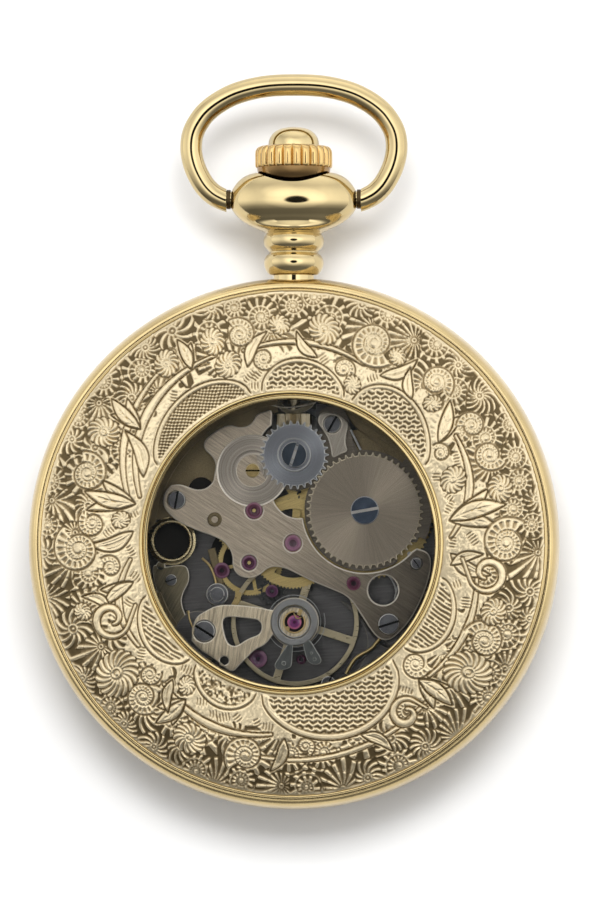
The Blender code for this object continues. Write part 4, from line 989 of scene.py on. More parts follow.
    def crescent(self, a0, a1, depth, fill, r0=13.5, curl=0, border=0.40, lean=0.0):
        """A panel against the window: a bordered crescent with a worked ground."""
        n = 44
        out = []
        for i in range(n + 1):
            t = i / n
            s = math.sin(math.pi * t)
            k = s ** 0.55 * (1 + lean * (t - 0.5))
            a = math.radians(a0 + (a1 - a0) * t)
            r = r0 + depth * k
            out.append((r * math.cos(a), r * math.sin(a)))
        inn = [(r0 * math.cos(math.radians(a1 + (a0 - a1) * i / 20)),
                r0 * math.sin(math.radians(a1 + (a0 - a1) * i / 20)))
               for i in range(1, 20)]
        pts = out + inn
        w, d, ins, _, _ = self.distance(pts, True, 0.5)
        wl, dl, _, _, _ = self.distance(out, False, 0.5)
        X, Z, R = self.X[w], self.Z[w], self.R[w]
        if fill == "waves":
            ph = Z + 0.085 * np.sin(2 * np.pi * X / 0.78 + 1.3 * np.sin(Z * 2.1)) + 0.05 * self.noise[w]
            c = np.cos(2 * np.pi * ph / 0.43)
            brk = np.cos(2 * np.pi * (X / 0.78 + 0.5 * np.floor(ph / 0.43))) > -0.93
            h = 0.02 - 0.13 * np.clip((0.35 - c) / 0.6, 0, 1) * brk
        elif fill == "pebble":
            u, v = X * 0.8 + Z * 0.6, Z * 0.8 - X * 0.6
            c = np.cos(2 * np.pi * u / 0.46 + 1.1 * self.noise[w]) * np.cos(2 * np.pi * v / 0.36)
            h = -0.07 + 0.10 * np.clip(c * 1.6, -1, 1)
        elif fill == "hatch":
            u = X * 0.55 + Z * 0.83 + 0.05 * self.noise[w]
            c = np.cos(2 * np.pi * u / 0.36)
            h = 0.02 - 0.12 * np.clip((0.3 - c) / 0.6, 0, 1)
            h = np.where(self.fine[w] > 1.15, 0.03, h)
        else:                                           # stipple
            h = -0.05 + 0.075 * np.clip(self.fine[w], -1.2, 1.2)
        h = h * np.clip(d / 0.12, 0, 1)
        # border band and its two lines
        e = np.abs(dl - border / 2) / (border / 2)
        on = dl < border
        hb = 0.03 + 0.05 * np.sqrt(np.clip(1 - e * e, 0, 1))
        h = np.where(on, hb, h)
        self.H[w] = np.where(ins, h, self.H[w])
        self.busy[w] |= ins
        self.busy[w] |= (dl < 0.12) if dl.shape == d.shape else False
        self.cut(out, 0.15, 0.13)
        ins_line = []
        for (x, z) in out[3:-3]:
            r = math.hypot(x, z)
            k = (r - border - 0.04) / r
            ins_line.append((x * k, z * k))
        self.cut(ins_line, 0.13, 0.10, taper=True)

    def ground(self, r0, r1):
        """Fine stipple and short parallel strokes on the free ground."""
        m = (~self.busy) & (self.R > r0) & (self.R < r1)
        h = -0.012 * np.clip(self.fine + 0.4, 0, 1.5)
        self.H = np.where(m, h, self.H)

    def strokes(self, x, z, ang, count, length, gap=0.34, bend=0.15, width=0.13):
        a = math.radians(ang)
        ux, uz = math.cos(a), math.sin(a)
        for i in range(count):
            o = (i - (count - 1) / 2) * gap
            L = length * (1 - 0.12 * abs(i - (count - 1) / 2))
            px, pz = x - uz * o, z + ux * o
            pts = []
            for k in range(5):
                t = k / 4 - 0.5
                b = bend * (0.25 - t * t)
                pts.append((px + ux * L * t - uz * b, pz + uz * L * t + ux * b))
            self.cut(pts, width, 0.10, taper=True)

    def blur(self, sigma):
        k = int(max(1, round(sigma * 3)))
        g = np.exp(-0.5 * (np.arange(-k, k + 1) / sigma) ** 2)
        g = (g / g.sum()).astype(np.float32)
        for axis in (0, 1):
            acc = np.zeros_like(self.H)
            for i, gi in enumerate(g):
                acc += gi * np.roll(self.H, i - k, axis)
            self.H = acc

    def sample(self, x, z, field=None):
        f = self.H if field is None else field
        u = np.clip((x + self.half) / self.px - 0.5, 0, self.n - 1.001)
        v = np.clip((z + self.half) / self.px - 0.5, 0, self.n - 1.001)
        i, j = np.floor(u).astype(int), np.floor(v).astype(int)
        a, b = u - i, v - j
        return (f[j, i] * (1 - a) * (1 - b) + f[j, i + 1] * a * (1 - b)
                + f[j + 1, i] * (1 - a) * b + f[j + 1, i + 1] * a * b)


def at_polar(r, deg):
    a = math.radians(deg)
    return r * math.cos(a), r * math.sin(a)


def scatter(rel, r0, r1, size0, size1, tries=6000):
    """Shell centres spread over a ring: larger ones inside, smaller outside."""
    rng = rel.rng
    out = []
    for _ in range(tries):
        r = math.sqrt(rng.uniform(r0 * r0, r1 * r1))
        a = rng.uniform(0, 360)
        t = (r - r0) / max(0.1, r1 - r0)
        size = (size0 + (size1 - size0) * t) * rng.uniform(0.85, 1.25)
        x, z = at_polar(r, a)
        if all((x - s["x"]) ** 2 + (z - s["z"]) ** 2 > (0.80 * (size + s["size"])) ** 2 for s in out):
            k = rng.random()
            kind = 0 if k < 0.42 else (1 if k < 0.72 else 2)
            out.append(dict(x=x, z=z, size=size, kind=kind,
                            phase=rng.uniform(0, 2 * math.pi),
                            hand=1 if rng.random() < 0.5 else -1,
                            ribs=int(rng.integers(10, 15))))
    return out


def spray(rel, r, ang, lengths, widths, spread, aim, bend=0.15, veins=2):
    """A spray of leaves from one point, drawn from the outside in."""
    x0, z0 = at_polar(r, ang)
    n = len(lengths)
    order = sorted(range(n), key=lambda i: -abs(i - (n - 1) / 2))
    for i in order:
        a = math.radians(aim + (i - (n - 1) / 2) * spread)
        b = bend * (1 if i < n / 2 else -1)
        rel.leaf(x0, z0, x0 + lengths[i] * math.cos(a), z0 + lengths[i] * math.sin(a),
                 widths[i], b, veins)


def cover_relief():
    rel = Relief(23.0, 1240, 11)
    # panels against the window
    rel.crescent(70, 101, 2.7, "waves", lean=0.3)
    rel.crescent(30, 67, 2.9, "waves", lean=0.6)
    rel.crescent(105, 150, 2.6, "pebble", lean=-0.4)
    rel.crescent(200, 229, 2.2, "hatch", lean=0.3)
    rel.crescent(232, 257, 2.3, "stipple", lean=0.2)
    rel.crescent(259, 311, 4.3, "waves", lean=0.25, border=0.55)
    rel.crescent(317, 347, 2.5, "hatch", lean=-0.3)

    def stem(a0, a1, r_a, r_b, w=0.5, swell=0.0):
        pts = []
        for i in range(31):
            t = i / 30
            pts.append(at_polar(r_a + (r_b - r_a) * t + swell * math.sin(math.pi * t),
                                a0 + (a1 - a0) * t))
        rel.band(pts, 0.2, w, 0.2)
    # stems and long arcs that tie the panels to the leaves
    stem(163, 112, 13.9, 17.8, 0.70, 1.2)
    stem(166, 128, 14.6, 19.0, 0.55, 0.6)
    stem(2, 33, 14.0, 17.2, 0.6, 0.8)
    stem(104, 68, 17.4, 16.9, 0.48, 0.5)
    stem(228, 264, 16.7, 16.9, 0.62, 0.7)
    stem(186, 214, 14.2, 16.2, 0.55, 0.9)
    stem(316, 350, 16.8, 16.5, 0.55, 0.5)
    stem(262, 310, 19.0, 18.3, 0.40, 0.35)
    # leaf sprays and plumes
    spray(rel, 14.1, 166, [3.6, 4.7, 4.4], [1.1, 1.35, 1.2], 21, 166, 0.25)
    spray(rel, 16.6, 143, [3.0, 3.8, 3.0], [0.95, 1.15, 0.9], 20, 134, 0.2)
    spray(rel, 17.6, 120, [2.4, 3.0], [0.85, 1.0], 24, 104, 0.18)
    spray(rel, 14.0, 8, [4.2, 5.2, 4.4], [1.25, 1.5, 1.25], 23, 16, 0.3)
    spray(rel, 15.6, 34, [3.2, 3.9], [1.0, 1.15], 26, 62, 0.2)
    spray(rel, 16.4, 313, [2.9, 3.7, 2.8], [1.05, 1.3, 0.95], 25, 322, 0.2)
    spray(rel, 16.6, 236, [2.6, 3.4, 2.6], [0.95, 1.15, 0.9], 24, 218, 0.2)
    spray(rel, 14.3, 194, [3.0, 3.4], [1.0, 1.05], 26, 206, 0.25)
    for r, a, aim, L, wd, b in ((13.9, 176, 196, 4.2, 1.3, 0.6), (14.2, 156, 112, 4.4, 1.2, -0.6),
                                (15.9, 104, 62, 3.6, 1.0, 0.5), (16.4, 82, 128, 3.0, 0.9, 0.4),
                                (16.6, 62, 24, 3.6, 1.1, -0.5), (14.0, 356, 332, 4.0, 1.25, -0.5),
                                (17.2, 268, 246, 3.2, 1.0, 0.4), (17.9, 290, 332, 3.2, 1.0, 0.4),
                                (15.9, 229, 262, 3.0, 0.9, -0.3), (14.1, 352, 18, 3.0, 0.9, 0.3),
                                (16.4, 50, 92, 2.8, 0.9, 0.3), (16.9, 200, 158, 2.8, 0.9, -0.4)):
        rel.plume(r, a, aim, L, wd, b, 4)
    # scrolls
    for r, a, size, start, sweep, tail in ((17.4, 351, 1.6, 200, 400, 2.0), (17.2, 203, 1.6, -20, -400, 1.9),
                                           (17.9, 247, 1.5, 330, 420, 1.6), (18.4, 88, 1.2, 180, -380, 1.4),
                                           (15.9, 152, 0.9, 40, 360, 0.9), (18.0, 304, 1.3, 60, 380, 1.3),
                                           (17.6, 40, 1.2, 250, -380, 1.2), (18.6, 132, 1.2, 10, 380, 1.2)):
        x, z = at_polar(r, a)
        if rel.is_free(x, z, size * 0.8, 0.35):
            rel.scroll(x, z, size, start, sweep, 0.62, 0.24, tail)
    # large shells at listed places, then wherever they fit
    for r, a, s, ph, hd in ((17.6, 356, 1.5, 2.2, -1), (19.0, 333, 2.0, 3.6, 1), (17.2, 180, 1.6, 3.1, -1),
                            (18.6, 210, 1.95, 4.4, 1), (18.8, 226, 1.7, 0.9, 1), (19.0, 48, 1.7, 5.5, -1),
                            (18.9, 104, 1.6, 4.0, 1), (19.0, 24, 1.6, 0.4, 1)):
        x, z = at_polar(r, a)
        if rel.is_free(x, z, s * 0.9, 0.12):
            rel.big_shell(x, z, s, ph, hd, int(15 + s * 2.5))
    rel.fill(14.6, 19.4, (2.1, 1.75, 1.45, 1.2, 0.95, 0.8), 420, 0.07)
    # everything else outside is packed with small shells
    free = scatter(rel, 16.4, 22.0, 1.6, 1.25)
    keep_ground = (~rel.busy) & (rel.R < 17.0 + 0.9 * rel.noise) & (rel.R > 13.4)
    rel.busy |= keep_ground
    rel.shells(free)
    rel.H = np.where(keep_ground, 0.012 * np.clip(rel.fine, -1.5, 1.5) + 0.005, rel.H)
    rng = np.random.default_rng(5)
    for _ in range(900):
        a, r = rng.uniform(0, 360), rng.uniform(13.9, 18.4)
        size = rng.uniform(0.32, 0.52)
        x, z = at_polar(r, a)
        w = rel.window(x - size, x + size, z - size, z + size, 0)
        if keep_ground[w].mean() > 0.86:
            rel.strokes(x, z, a + rng.uniform(-60, 60), int(rng.integers(3, 6)), size * 2.1, 0.27)
            keep_ground[w] = False
    # fade to smooth metal at the window and at the edge
    fade = np.clip((rel.R - 13.42) / 0.25, 0, 1) * np.clip((22.15 - rel.R) / 0.30, 0, 1)
    rel.H = (rel.H + 0.006 * rel.fine) * fade
    rel.blur(0.8)
    return rel


def lid_relief():
    """The lid: leaf sprays and shells round a plain medallion."""
    rel = Relief(23.0, 1100, 29)
    for k in range(6):
        rel.crescent(k * 60 + 8, k * 60 + 50, 2.0, ("waves", "pebble", "hatch")[k % 3], r0=9.7,
                     border=0.36)
    for k in range(6):
        a = k * 60 - 1
        spray(rel, 10.3, a, [3.4, 4.4, 3.4], [1.1, 1.4, 1.1], 30, a, 0.25)
        spray(rel, 12.6, a + 30, [2.6, 3.2, 2.6], [0.9, 1.1, 0.9], 28, a + 30, 0.2)
    for k in range(12):
        x, z = at_polar(15.0, k * 30 + 15)
        rel.scroll(x, z, 1.2, k * 30 + (180 if k % 2 else 0), 380 if k % 2 else -380, 0.5, 0.22, 1.2)
    for k in range(12):
        x, z = at_polar(17.6 + 0.4 * (k % 2), k * 30 + 1)
        w = rel.window(x, x, z, z, 0.9)
        if rel.busy[w].mean() < 0.45:
            rel.big_shell(x, z, 1.7, 1.3 * k, 1 if k % 2 else -1, 19)
    rel.fill(11.4, 19.4, (1.8, 1.5, 1.2, 0.95), 300, 0.06, 8)
    free = scatter(rel, 14.0, 21.7, 1.5, 1.1)
    keep = (~rel.busy) & (rel.R < 14.6 + 0.8 * rel.noise) & (rel.R > 9.5)
    rel.busy |= keep
    rel.shells(free)
    rel.H = np.where(keep, -0.012 * np.clip(rel.fine + 0.4, 0, 1.5) + 0.012, rel.H)
    fade = np.clip((rel.R - 9.5) / 0.25, 0, 1) * np.clip((21.72 - rel.R) / 0.30, 0, 1)
    rel.H = (rel.H + 0.006 * rel.fine) * fade
    rel.blur(0.9)
    return rel

# ===================================================================== finishes
# pale bevel colour: a painted highlight on chamfers
CHAMFER_HIGHLIGHT = lin(222, 214, 198)
GOLD = lin(208, 188, 142)
GOLD_PALE = lin(216, 199, 164)
GOLD_WARM = lin(206, 174, 116)

m_case = polished("gold_case_polished", lin(202, 182, 136), 0.075)
m_rim = polished("gold_rim_satin", lin(200, 178, 130), 0.20)
m_ring = polished("gold_window_ring", lin(196, 176, 128), 0.12)
m_bow = polished("gold_bow_polished", lin(200, 180, 134), 0.07)
# crown underside in darker gold: painted shade under the crown
m_skirt_shade = polished("crown_underside", lin(158, 126, 82), 0.16)
m_crown = polished("gold_crown_polished", GOLD_WARM, 0.15)
# the dark colour is the painted shade in the deepest cuts
m_cover = wearing_gold("gold_cover_engraved", GOLD_PALE, (0.19, 0.165, 0.125, 1.0))
m_lid = wearing_gold("gold_lid_engraved", GOLD_PALE, (0.19, 0.165, 0.125, 1.0))
m_steel = polished("steel_polished", lin(164, 164, 162), 0.32)
m_steel_dark = polished("steel_dark", lin(104, 105, 106), 0.38)
# in brushed and rounded finishes the second colour is the painted highlight on bevels
m_brass = brushed("brass_wheels", lin(176, 156, 104), lin(214, 196, 138), 20.0, 0.40, None, 0.12)
m_gilt = polished("balance_gilt", lin(178, 166, 136), 0.30)
m_esc = polished("escape_grey", lin(70, 70, 70), 0.30)
m_seat = brushed("barrel_seat_grey", lin(100, 93, 83), CHAMFER_HIGHLIGHT, 5.0, 0.36, None, 0.14)
m_gilt_spring = polished("spring_gilt", lin(180, 158, 108), 0.30)
m_matte_brass = matte("frosted_brass", lin(112, 100, 76), 0.42)
m_glass = glassy("back_glass_clear")
m_crystal = glassy("front_crystal_clear")
m_eye = polished("eyelet_brass", lin(178, 164, 128), 0.24)
m_pinion = polished("pinion_steel", lin(176, 164, 138), 0.34)
# dark collars at the bow pivots: painted shade where the bow enters the pendant
m_collar_shade = polished("pivot_collar", lin(76, 62, 42), 0.35)
m_side = brushed("side_lever_grain", lin(112, 104, 84), CHAMFER_HIGHLIGHT, 60.0, 0.34, None, 0.2)
# near-black for discs that stand for the shade in holes and wells: painted shade
m_shade_black = matte("painted_shade_well", lin(24, 21, 19), 0.6, 0.0, spec=0.06)

# screw colours: head, the slot floor's painted shade or painted highlight, the chamfer's painted highlight
m_screw = screw_finish("screw_steel", lin(96, 96, 98), lin(20, 20, 20), lin(190, 188, 182), 0.40)
m_screw_blue = screw_finish("screw_blued", lin(64, 72, 84), lin(176, 172, 164), lin(150, 152, 156), 0.40)
m_screw_dark = screw_finish("screw_dark", lin(60, 66, 74), lin(186, 184, 178), lin(170, 170, 168), 0.40)
m_screw_brass = screw_finish("screw_brass", lin(158, 138, 92), lin(36, 28, 16), lin(196, 180, 136), 0.40)
# bridge and cock: the tuple of four numbers paints a shade gradient across the flat
m_bridge = brushed("bridge_grey_brushed", lin(164, 152, 134), CHAMFER_HIGHLIGHT, -33.0, 0.42, (-0.090, 0.050, 0.28, 1.62), 0.22)
m_bridge_cover = brushed("cover_plate_brushed", lin(150, 143, 131), CHAMFER_HIGHLIGHT, 70.0, 0.40, None, 0.14)
m_cock = brushed("cock_wavy_grain", lin(184, 171, 146), CHAMFER_HIGHLIGHT, 78.0, 0.42, (-0.02, 0.06, 0.9, 1.3), 0.34, wave=0.06, fineness=0.8)
m_plate = brushed("main_plate_dark", lin(88, 86, 85), lin(126, 120, 108), 5.0, 0.40, None, 0.16)
# the last two numbers of each: strength and angle of the painted reflection fan
m_spot = rounded("snailed_recess", lin(156, 148, 136), CHAMFER_HIGHLIGHT, SPOT, "ring", 0.36, 0.30, 6.0, 0.35, 0.9)
m_ratchet = rounded("ratchet_sunburst", lin(138, 128, 113), lin(190, 178, 152), (0, 0), "sun", 0.40, 0.11, 7.0, 0.50, -2.3)
m_crownwheel = rounded("crown_wheel_snailed", lin(124, 126, 130), lin(190, 190, 186), (0, 0), "ring", 0.38, 0.12, 7.0, 0.45, 0.6)
m_regulator = polished("regulator_steel", lin(142, 142, 140), 0.33)
m_pointer = brushed("regulator_pointer", lin(84, 86, 84), lin(206, 206, 198), 70.0, 0.42, None, 0.10)
m_ruby_c = jewel("ruby_centre", lin(104, 62, 84), lin(128, 92, 106), lin(58, 30, 42), (0, 0), 0.30, 0.73)
m_ruby_t = jewel("ruby_third", lin(66, 18, 40), lin(118, 76, 92), lin(24, 8, 16), (0, 0), 0.20, 0.73)
m_ruby_f = jewel("ruby_fourth", lin(58, 18, 42), lin(108, 70, 90), lin(20, 8, 16), (0, 0), 0.18, 0.64)
m_ruby_p = jewel("ruby_plate", lin(62, 26, 54), lin(104, 70, 90), lin(22, 10, 20), (0, 0), 0.16, 0.67)
m_ruby_b = jewel("ruby_balance", lin(96, 34, 88), lin(168, 92, 124), lin(52, 16, 44), (0, 0), 0.12, 0.62)


# ======================================================================== case
SEG = 224
DOME = np.polyfit([13.2, 14.6, 16.0, 18.8, 21.0, 22.48], [5.30, 5.235, 5.13, 4.60, 3.72, 2.88], 3)


def dome(r):
    return np.polyval(DOME, r)


def upright(r, z0, z1, steps=32, x=0.0, h=0.0):
    me = rod(r, z0, z1, steps=steps)
    me.transform(Matrix.Rotation(math.radians(-90.0), 4, "X"))
    return shifted(me, x, 0.0, h)


def along_x(r, x0, x1, y=0.0, h=0.0, steps=28, bevel=0.0):
    me = rod(r, x0, x1, steps=steps, bevel=bevel)
    me.transform(Matrix.Rotation(math.radians(90.0), 4, "Y"))
    return shifted(me, 0.0, y, h)


HINGE_Z, HINGE_H, KNUCKLE = -22.75, -2.53, 0.60

rim_out = flow([(22.56, 2.72), (22.80, 2.66), (23.08, 2.34), (23.30, 1.74), (23.44, 0.95), (23.50, 0.0),
                (23.40, -1.25), (23.02, -2.50)], 6)
band = lathe([(21.90, 2.60), (22.54, 2.60)] + rim_out +
             [(22.00, -2.50), (22.00, -1.20), (20.90, -1.20), (20.90, 1.42), (21.90, 1.42)], SEG)
band = cut(band, upright(1.90, 20.0, 24.5))
band = cut(band, along_x(KNUCKLE + 0.07, -1.76, 1.76, HINGE_Z, HINGE_H))
band = union(band, along_x(KNUCKLE, 1.76, 3.60, HINGE_Z, HINGE_H, bevel=0.08),
             along_x(KNUCKLE, -3.60, -1.76, HINGE_Z, HINGE_H, bevel=0.08))
band = cut(band, along_x(0.29, -4.0, 4.0, HINGE_Z, HINGE_H))
place("band", band, m_rim, "case", ["case_band"])
place("hinge_pin", along_x(0.24, -3.55, 3.55, HINGE_Z, HINGE_H, bevel=0.06), m_steel, "case",
      ["lid_hinge_pin"])


def relief_ring(name, rel, prof_h, r0, r1, dr, seg, sectors, thick0, thick1, mat, body,
                node, sign=1.0, pivot=(0.0, 0.0), zone=None):
    """An engraved dome ring in closed sectors; the cuts follow the relief map."""
    rs = np.arange(r0, r1 + 1e-6, dr)
    eps = 0.01
    for k in range(sectors):
        n = seg // sectors
        a = np.radians(90.0 + 360.0 * (k * n + np.arange(n + 1)) / seg + 180.0 / sectors)
        RR, AA = np.meshgrid(rs, a, indexing="ij")
        X, Z = RR * np.cos(AA), RR * np.sin(AA)
        H0 = prof_h(RR)
        slope = (prof_h(RR + eps) - prof_h(RR - eps)) / (2 * eps)
        L = np.sqrt(1 + slope ** 2)
        D = rel.sample(X, Z)
        zk = np.clip((RR - zone[0]) / (zone[1] - zone[0]), 0, 1) if zone else np.ones_like(RR)
        zk = zk * zk * (3 - 2 * zk)
        D = D * (0.74 + 0.34 * zk if zone else 1.0)
        ox = -slope / L * D
        Xd, Zd = X + ox * np.cos(AA), Z + ox * np.sin(AA)
        Hd = H0 + D / L
        m = len(rs)
        top = np.stack([Xd, Zd, Hd], -1).reshape(-1, 3)
        lo0 = np.stack([r0 * np.cos(a), r0 * np.sin(a), np.full(n + 1, float(prof_h(r0)) - thick0)], -1)
        lo1 = np.stack([r1 * np.cos(a), r1 * np.sin(a), np.full(n + 1, float(prof_h(r1)) - thick1)], -1)
        co = np.concatenate([top, lo0, lo1])
        base = m * (n + 1)
        i, j = np.meshgrid(np.arange(m - 1), np.arange(n), indexing="ij")
        q = (i * (n + 1) + j).ravel()
        quads = np.stack([q, q + n + 1, q + n + 2, q + 1], -1)
        jj = np.arange(n)
        inner = np.stack([jj, jj + 1, base + jj + 1, base + jj], -1)
        oo = (m - 1) * (n + 1) + jj
        outer = np.stack([oo + 1, oo, base + n + 1 + jj, base + n + 2 + jj], -1)
        under = np.stack([base + jj, base + jj + 1, base + n + 2 + jj, base + n + 1 + jj], -1)
        faces = [list(f) for f in np.concatenate([quads, inner, outer, under])]
        col = [int(x) for x in np.arange(m) * (n + 1)]
        faces.append(col + [base + n + 1, base])
        faces.append([c + n for c in col[::-1]] + [base + n, base + n + 1 + n])
        # back frame (x, y, h) -> metres, sign -1 for the lid side
        w = np.stack([co[:, 0] - pivot[0], -co[:, 2] * sign - pivot[1] * 0, co[:, 1] - pivot[1]], -1) * MM
        me = bpy.data.meshes.new(f"{name}_{k + 1}")
        me.from_pydata(w.tolist(), [], faces)
        bm = bmesh.new()
        bm.from_mesh(me)
        bmesh.ops.recalc_face_normals(bm, faces=bm.faces)
        if bm.calc_volume(signed=True) < 0:
            bmesh.ops.reverse_faces(bm, faces=bm.faces)
        bm.to_mesh(me)
        bm.free()
        # the depth of each cut, which the finish turns into painted shade; its scale changes from the inner to the
        # outer zone
        at = me.attributes.new("recess", "FLOAT", "POINT")
        v = (np.clip((-0.012 - D) / (0.062 + 0.058 * zk), 0, 1) * (0.92 + 0.16 * zk)).clip(0, 1).reshape(-1)
        v = np.concatenate([v, np.zeros(2 * (n + 1))]).astype(np.float32)
        at.data.foreach_set("value", v)
        me.materials.append(mat)
        ob = bpy.data.objects.new(f"{name}_{k + 1}", me)
        COLL.objects.link(ob)
        ob.location = (pivot[0] * MM, -REST * MM, pivot[1] * MM)
        me.shade_smooth()
        me.set_sharp_from_angle(angle=math.radians(65))
        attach(ob, body)
        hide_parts(node)


COVER_IN, COVER_OUT = 13.36, 22.20
rel = cover_relief()
fine = 0.07
relief_ring("cover_engraved", rel, dome, COVER_IN, COVER_OUT, fine,
            int(2 * math.pi * 18.5 / fine) // 4 * 4, 4, 0.55, 0.42, m_cover, "case", "back_cover", zone=(15.0, 18.0))

h_out = float(dome(COVER_OUT))
rim = lathe([(22.20, h_out - 0.42), (22.20, h_out - 0.02), (22.235, h_out + 0.03),
             (22.29, h_out + 0.045), (22.35, h_out + 0.02), (22.42, h_out - 0.07),
             (22.48, 2.84), (22.48, 2.75), (21.86, 2.75), (21.86, 1.50), (21.40, 1.50), (21.40, 2.52)], SEG)
place("cover_rim", rim, m_rim, "case", ["back_cover"])

bezel = lathe([(12.56, 5.20), (12.58, 5.40), (12.62, 5.50), (12.70, 5.565), (12.80, 5.58), (12.88, 5.54), (12.93, 5.44),
               (12.96, 5.36), (13.00, 5.35), (13.03, 5.44), (13.09, 5.555), (13.18, 5.60), (13.27, 5.575), (13.33, 5.50),
               (13.35, 5.38), (13.35, 5.10), (13.15, 5.05), (13.15, 4.20), (12.95, 4.20), (12.95, 5.10), (12.56, 5.16)], SEG)
place("window_ring", bezel, m_ring, "case", ["window_bezel"])
glass = lathe([(0.0, 5.16), (6.0, 5.155), (12.70, 5.10), (12.80, 5.05), (12.86, 5.0), (12.86, 4.60),
               (0.0, 4.60)], 128, closed=False)
place("window_glass", glass, m_glass, "case", ["back_glass"])

# ---- lid: an engraved dome with a plain medallion, hinged below
LID_OUT = np.polyfit([9.2, 12.0, 14.6, 18.6, 21.4, 23.0], [6.70, 6.60, 6.34, 5.42, 4.25, 2.96], 4)


def lid_dome(r):
    return np.polyval(LID_OUT, r)


lrel = lid_relief()
lfine = 0.085
relief_ring("lid_engraved", lrel, lid_dome, 9.45, 21.75, lfine,
            int(2 * math.pi * 18.0 / lfine) // 4 * 4, 4, 0.30, 0.60, m_lid, "front_lid", "front_lid",
            sign=-1.0, pivot=(0.0, HINGE_Z))
h_l = float(lid_dome(21.75))
lid = lathe([(0, -6.10), (9.0, -6.08), (15.5, -5.52), (20.0, -4.25), (22.15, -2.56), (23.0, -2.56),
             (23.10, -2.70), (23.06, -2.95), (22.80, -3.30), (22.40, -3.72), (22.05, -4.00),
             (21.98, -4.03), (21.90, -3.95), (21.80, -h_l + 0.02), (21.75, -h_l + 0.04),
             (21.75, -h_l + 0.62), (9.45, -6.36), (9.45, -6.70), (9.40, -6.76), (9.30, -6.78),
             (9.20, -6.72), (9.10, -6.72), (9.00, -6.79), (8.8, -6.80), (0.0, -6.80)], SEG, closed=False)
lid = cut(lid, block(-4.4, 4.4, -24.5, HINGE_Z + 0.03, -7.2, -2.0))
lid = cut(lid, along_x(KNUCKLE + 0.07, 1.70, 4.4, HINGE_Z, HINGE_H),
          along_x(KNUCKLE + 0.07, -4.4, -1.70, HINGE_Z, HINGE_H))
lid = union(lid, along_x(KNUCKLE, -1.70, 1.70, HINGE_Z, HINGE_H, bevel=0.08))
lid = cut(lid, along_x(0.29, -4.0, 4.0, HINGE_Z, HINGE_H))
place("lid_shell", shifted(lid, 0, -HINGE_Z, 0), m_case, "front_lid", ["front_lid"], at=(0.0, HINGE_Z))

fbez = lathe([(20.6, -1.27), (21.6, -1.27), (21.6, -2.60), (21.45, -2.85), (21.0, -3.28), (20.4, -3.62),
              (19.9, -3.86), (19.78, -3.88), (19.75, -3.80), (19.75, -3.45), (19.2, -3.45),
              (19.2, -2.42), (20.6, -2.42)], SEG)
fbez = cut(fbez, block(-2.3, 2.3, 20.15, 22.5, -4.2, -1.0))
place("front_ring", fbez, m_case, "case", ["front_bezel"])
crys = lathe([(0.0, -3.95), (11.0, -3.82), (19.62, -3.50), (19.62, -3.86), (15.5, -4.12), (11.0, -4.28),
              (5.5, -4.41), (0.0, -4.45)], 128, closed=False)
place("front_glass", crys, m_crystal, "case", ["front_crystal"])

# ---- pendant, a turned ball on two beads
pend = [(1.10, 31.90)]
pend += flow([(1.60, 31.96), (2.20, 32.22), (2.75, 32.66), (3.25, 32.86), (3.90, 32.74), (4.55, 32.42),
              (5.10, 31.90), (5.55, 31.15), (5.70, 30.35), (5.55, 29.70), (5.10, 29.05), (4.40, 28.45),
              (3.60, 28.00), (2.90, 27.70), (2.55, 27.52)], 3)
pend += flow([(2.46, 27.44), (2.62, 27.15), (2.70, 26.80), (2.58, 26.30), (2.28, 25.95), (2.16, 25.82)], 3)
pend += flow([(2.20, 25.68), (2.46, 25.45), (2.64, 25.05), (2.62, 24.60), (2.44, 24.15), (2.24, 23.86)], 3)
pend += [(2.10, 23.78), (1.80, 23.72), (1.80, 22.05), (1.10, 22.05)]
pend = lathe(pend, 120)
pend.transform(Matrix.Rotation(math.radians(-90.0), 4, "X"))
for v in pend.vertices:
    k = min(1.0, max(0.0, (v.co.y - 27.5) / 1.1))
    v.co.z *= 1.0 - 0.40 * k * k * (3 - 2 * k)
hollow = lathe([(0.0, 31.20), (2.0, 31.30), (2.7, 31.55), (3.10, 31.90), (3.36, 32.40), (3.50, 33.00),
                (3.54, 33.40), (3.54, 34.2), (0.0, 34.2)], 120, closed=False)
hollow.transform(Matrix.Rotation(math.radians(-90.0), 4, "X"))
pend = cut(pend, hollow)
PIVOT_Z = 30.5
pend = cut(pend, along_x(0.76, 4.45, 6.2, PIVOT_Z), along_x(0.76, -6.2, -4.45, PIVOT_Z))
place("pendant_ball", pend, m_case, "case", ["pendant"], angle=40.0)

# ---- bow
BOW = [(5.97, 30.40), (6.45, 30.58), (7.25, 31.05), (8.00, 31.85), (8.66, 33.05), (9.02, 34.20),
       (9.12, 35.25), (8.98, 36.30), (8.55, 37.25), (7.80, 38.25), (6.60, 39.18), (4.95, 39.98),
       (2.63, 40.52), (0.0, 40.66)]
st = BOW + [(-x, z) for x, z in BOW[-2::-1]]
pts = [(x, z, 0.0) for x, z in flow(st, 8)]
ext = [(pts[0][0] - 0.6, pts[0][1] - 0.2, 0.0)]
bow = wire(ext + pts + [(-ext[0][0], ext[0][1], 0.0)], 0.975, 14)
bow = cut(bow, block(-5.97, 5.97, 28.0, 33.0, -1.6, 1.6))
stud = joined(along_x(0.70, 4.60, 6.6, PIVOT_Z), along_x(0.70, -6.6, -4.60, PIVOT_Z))
bow = union(bow, along_x(0.70, 4.60, 6.6, PIVOT_Z), along_x(0.70, -6.6, -4.60, PIVOT_Z))
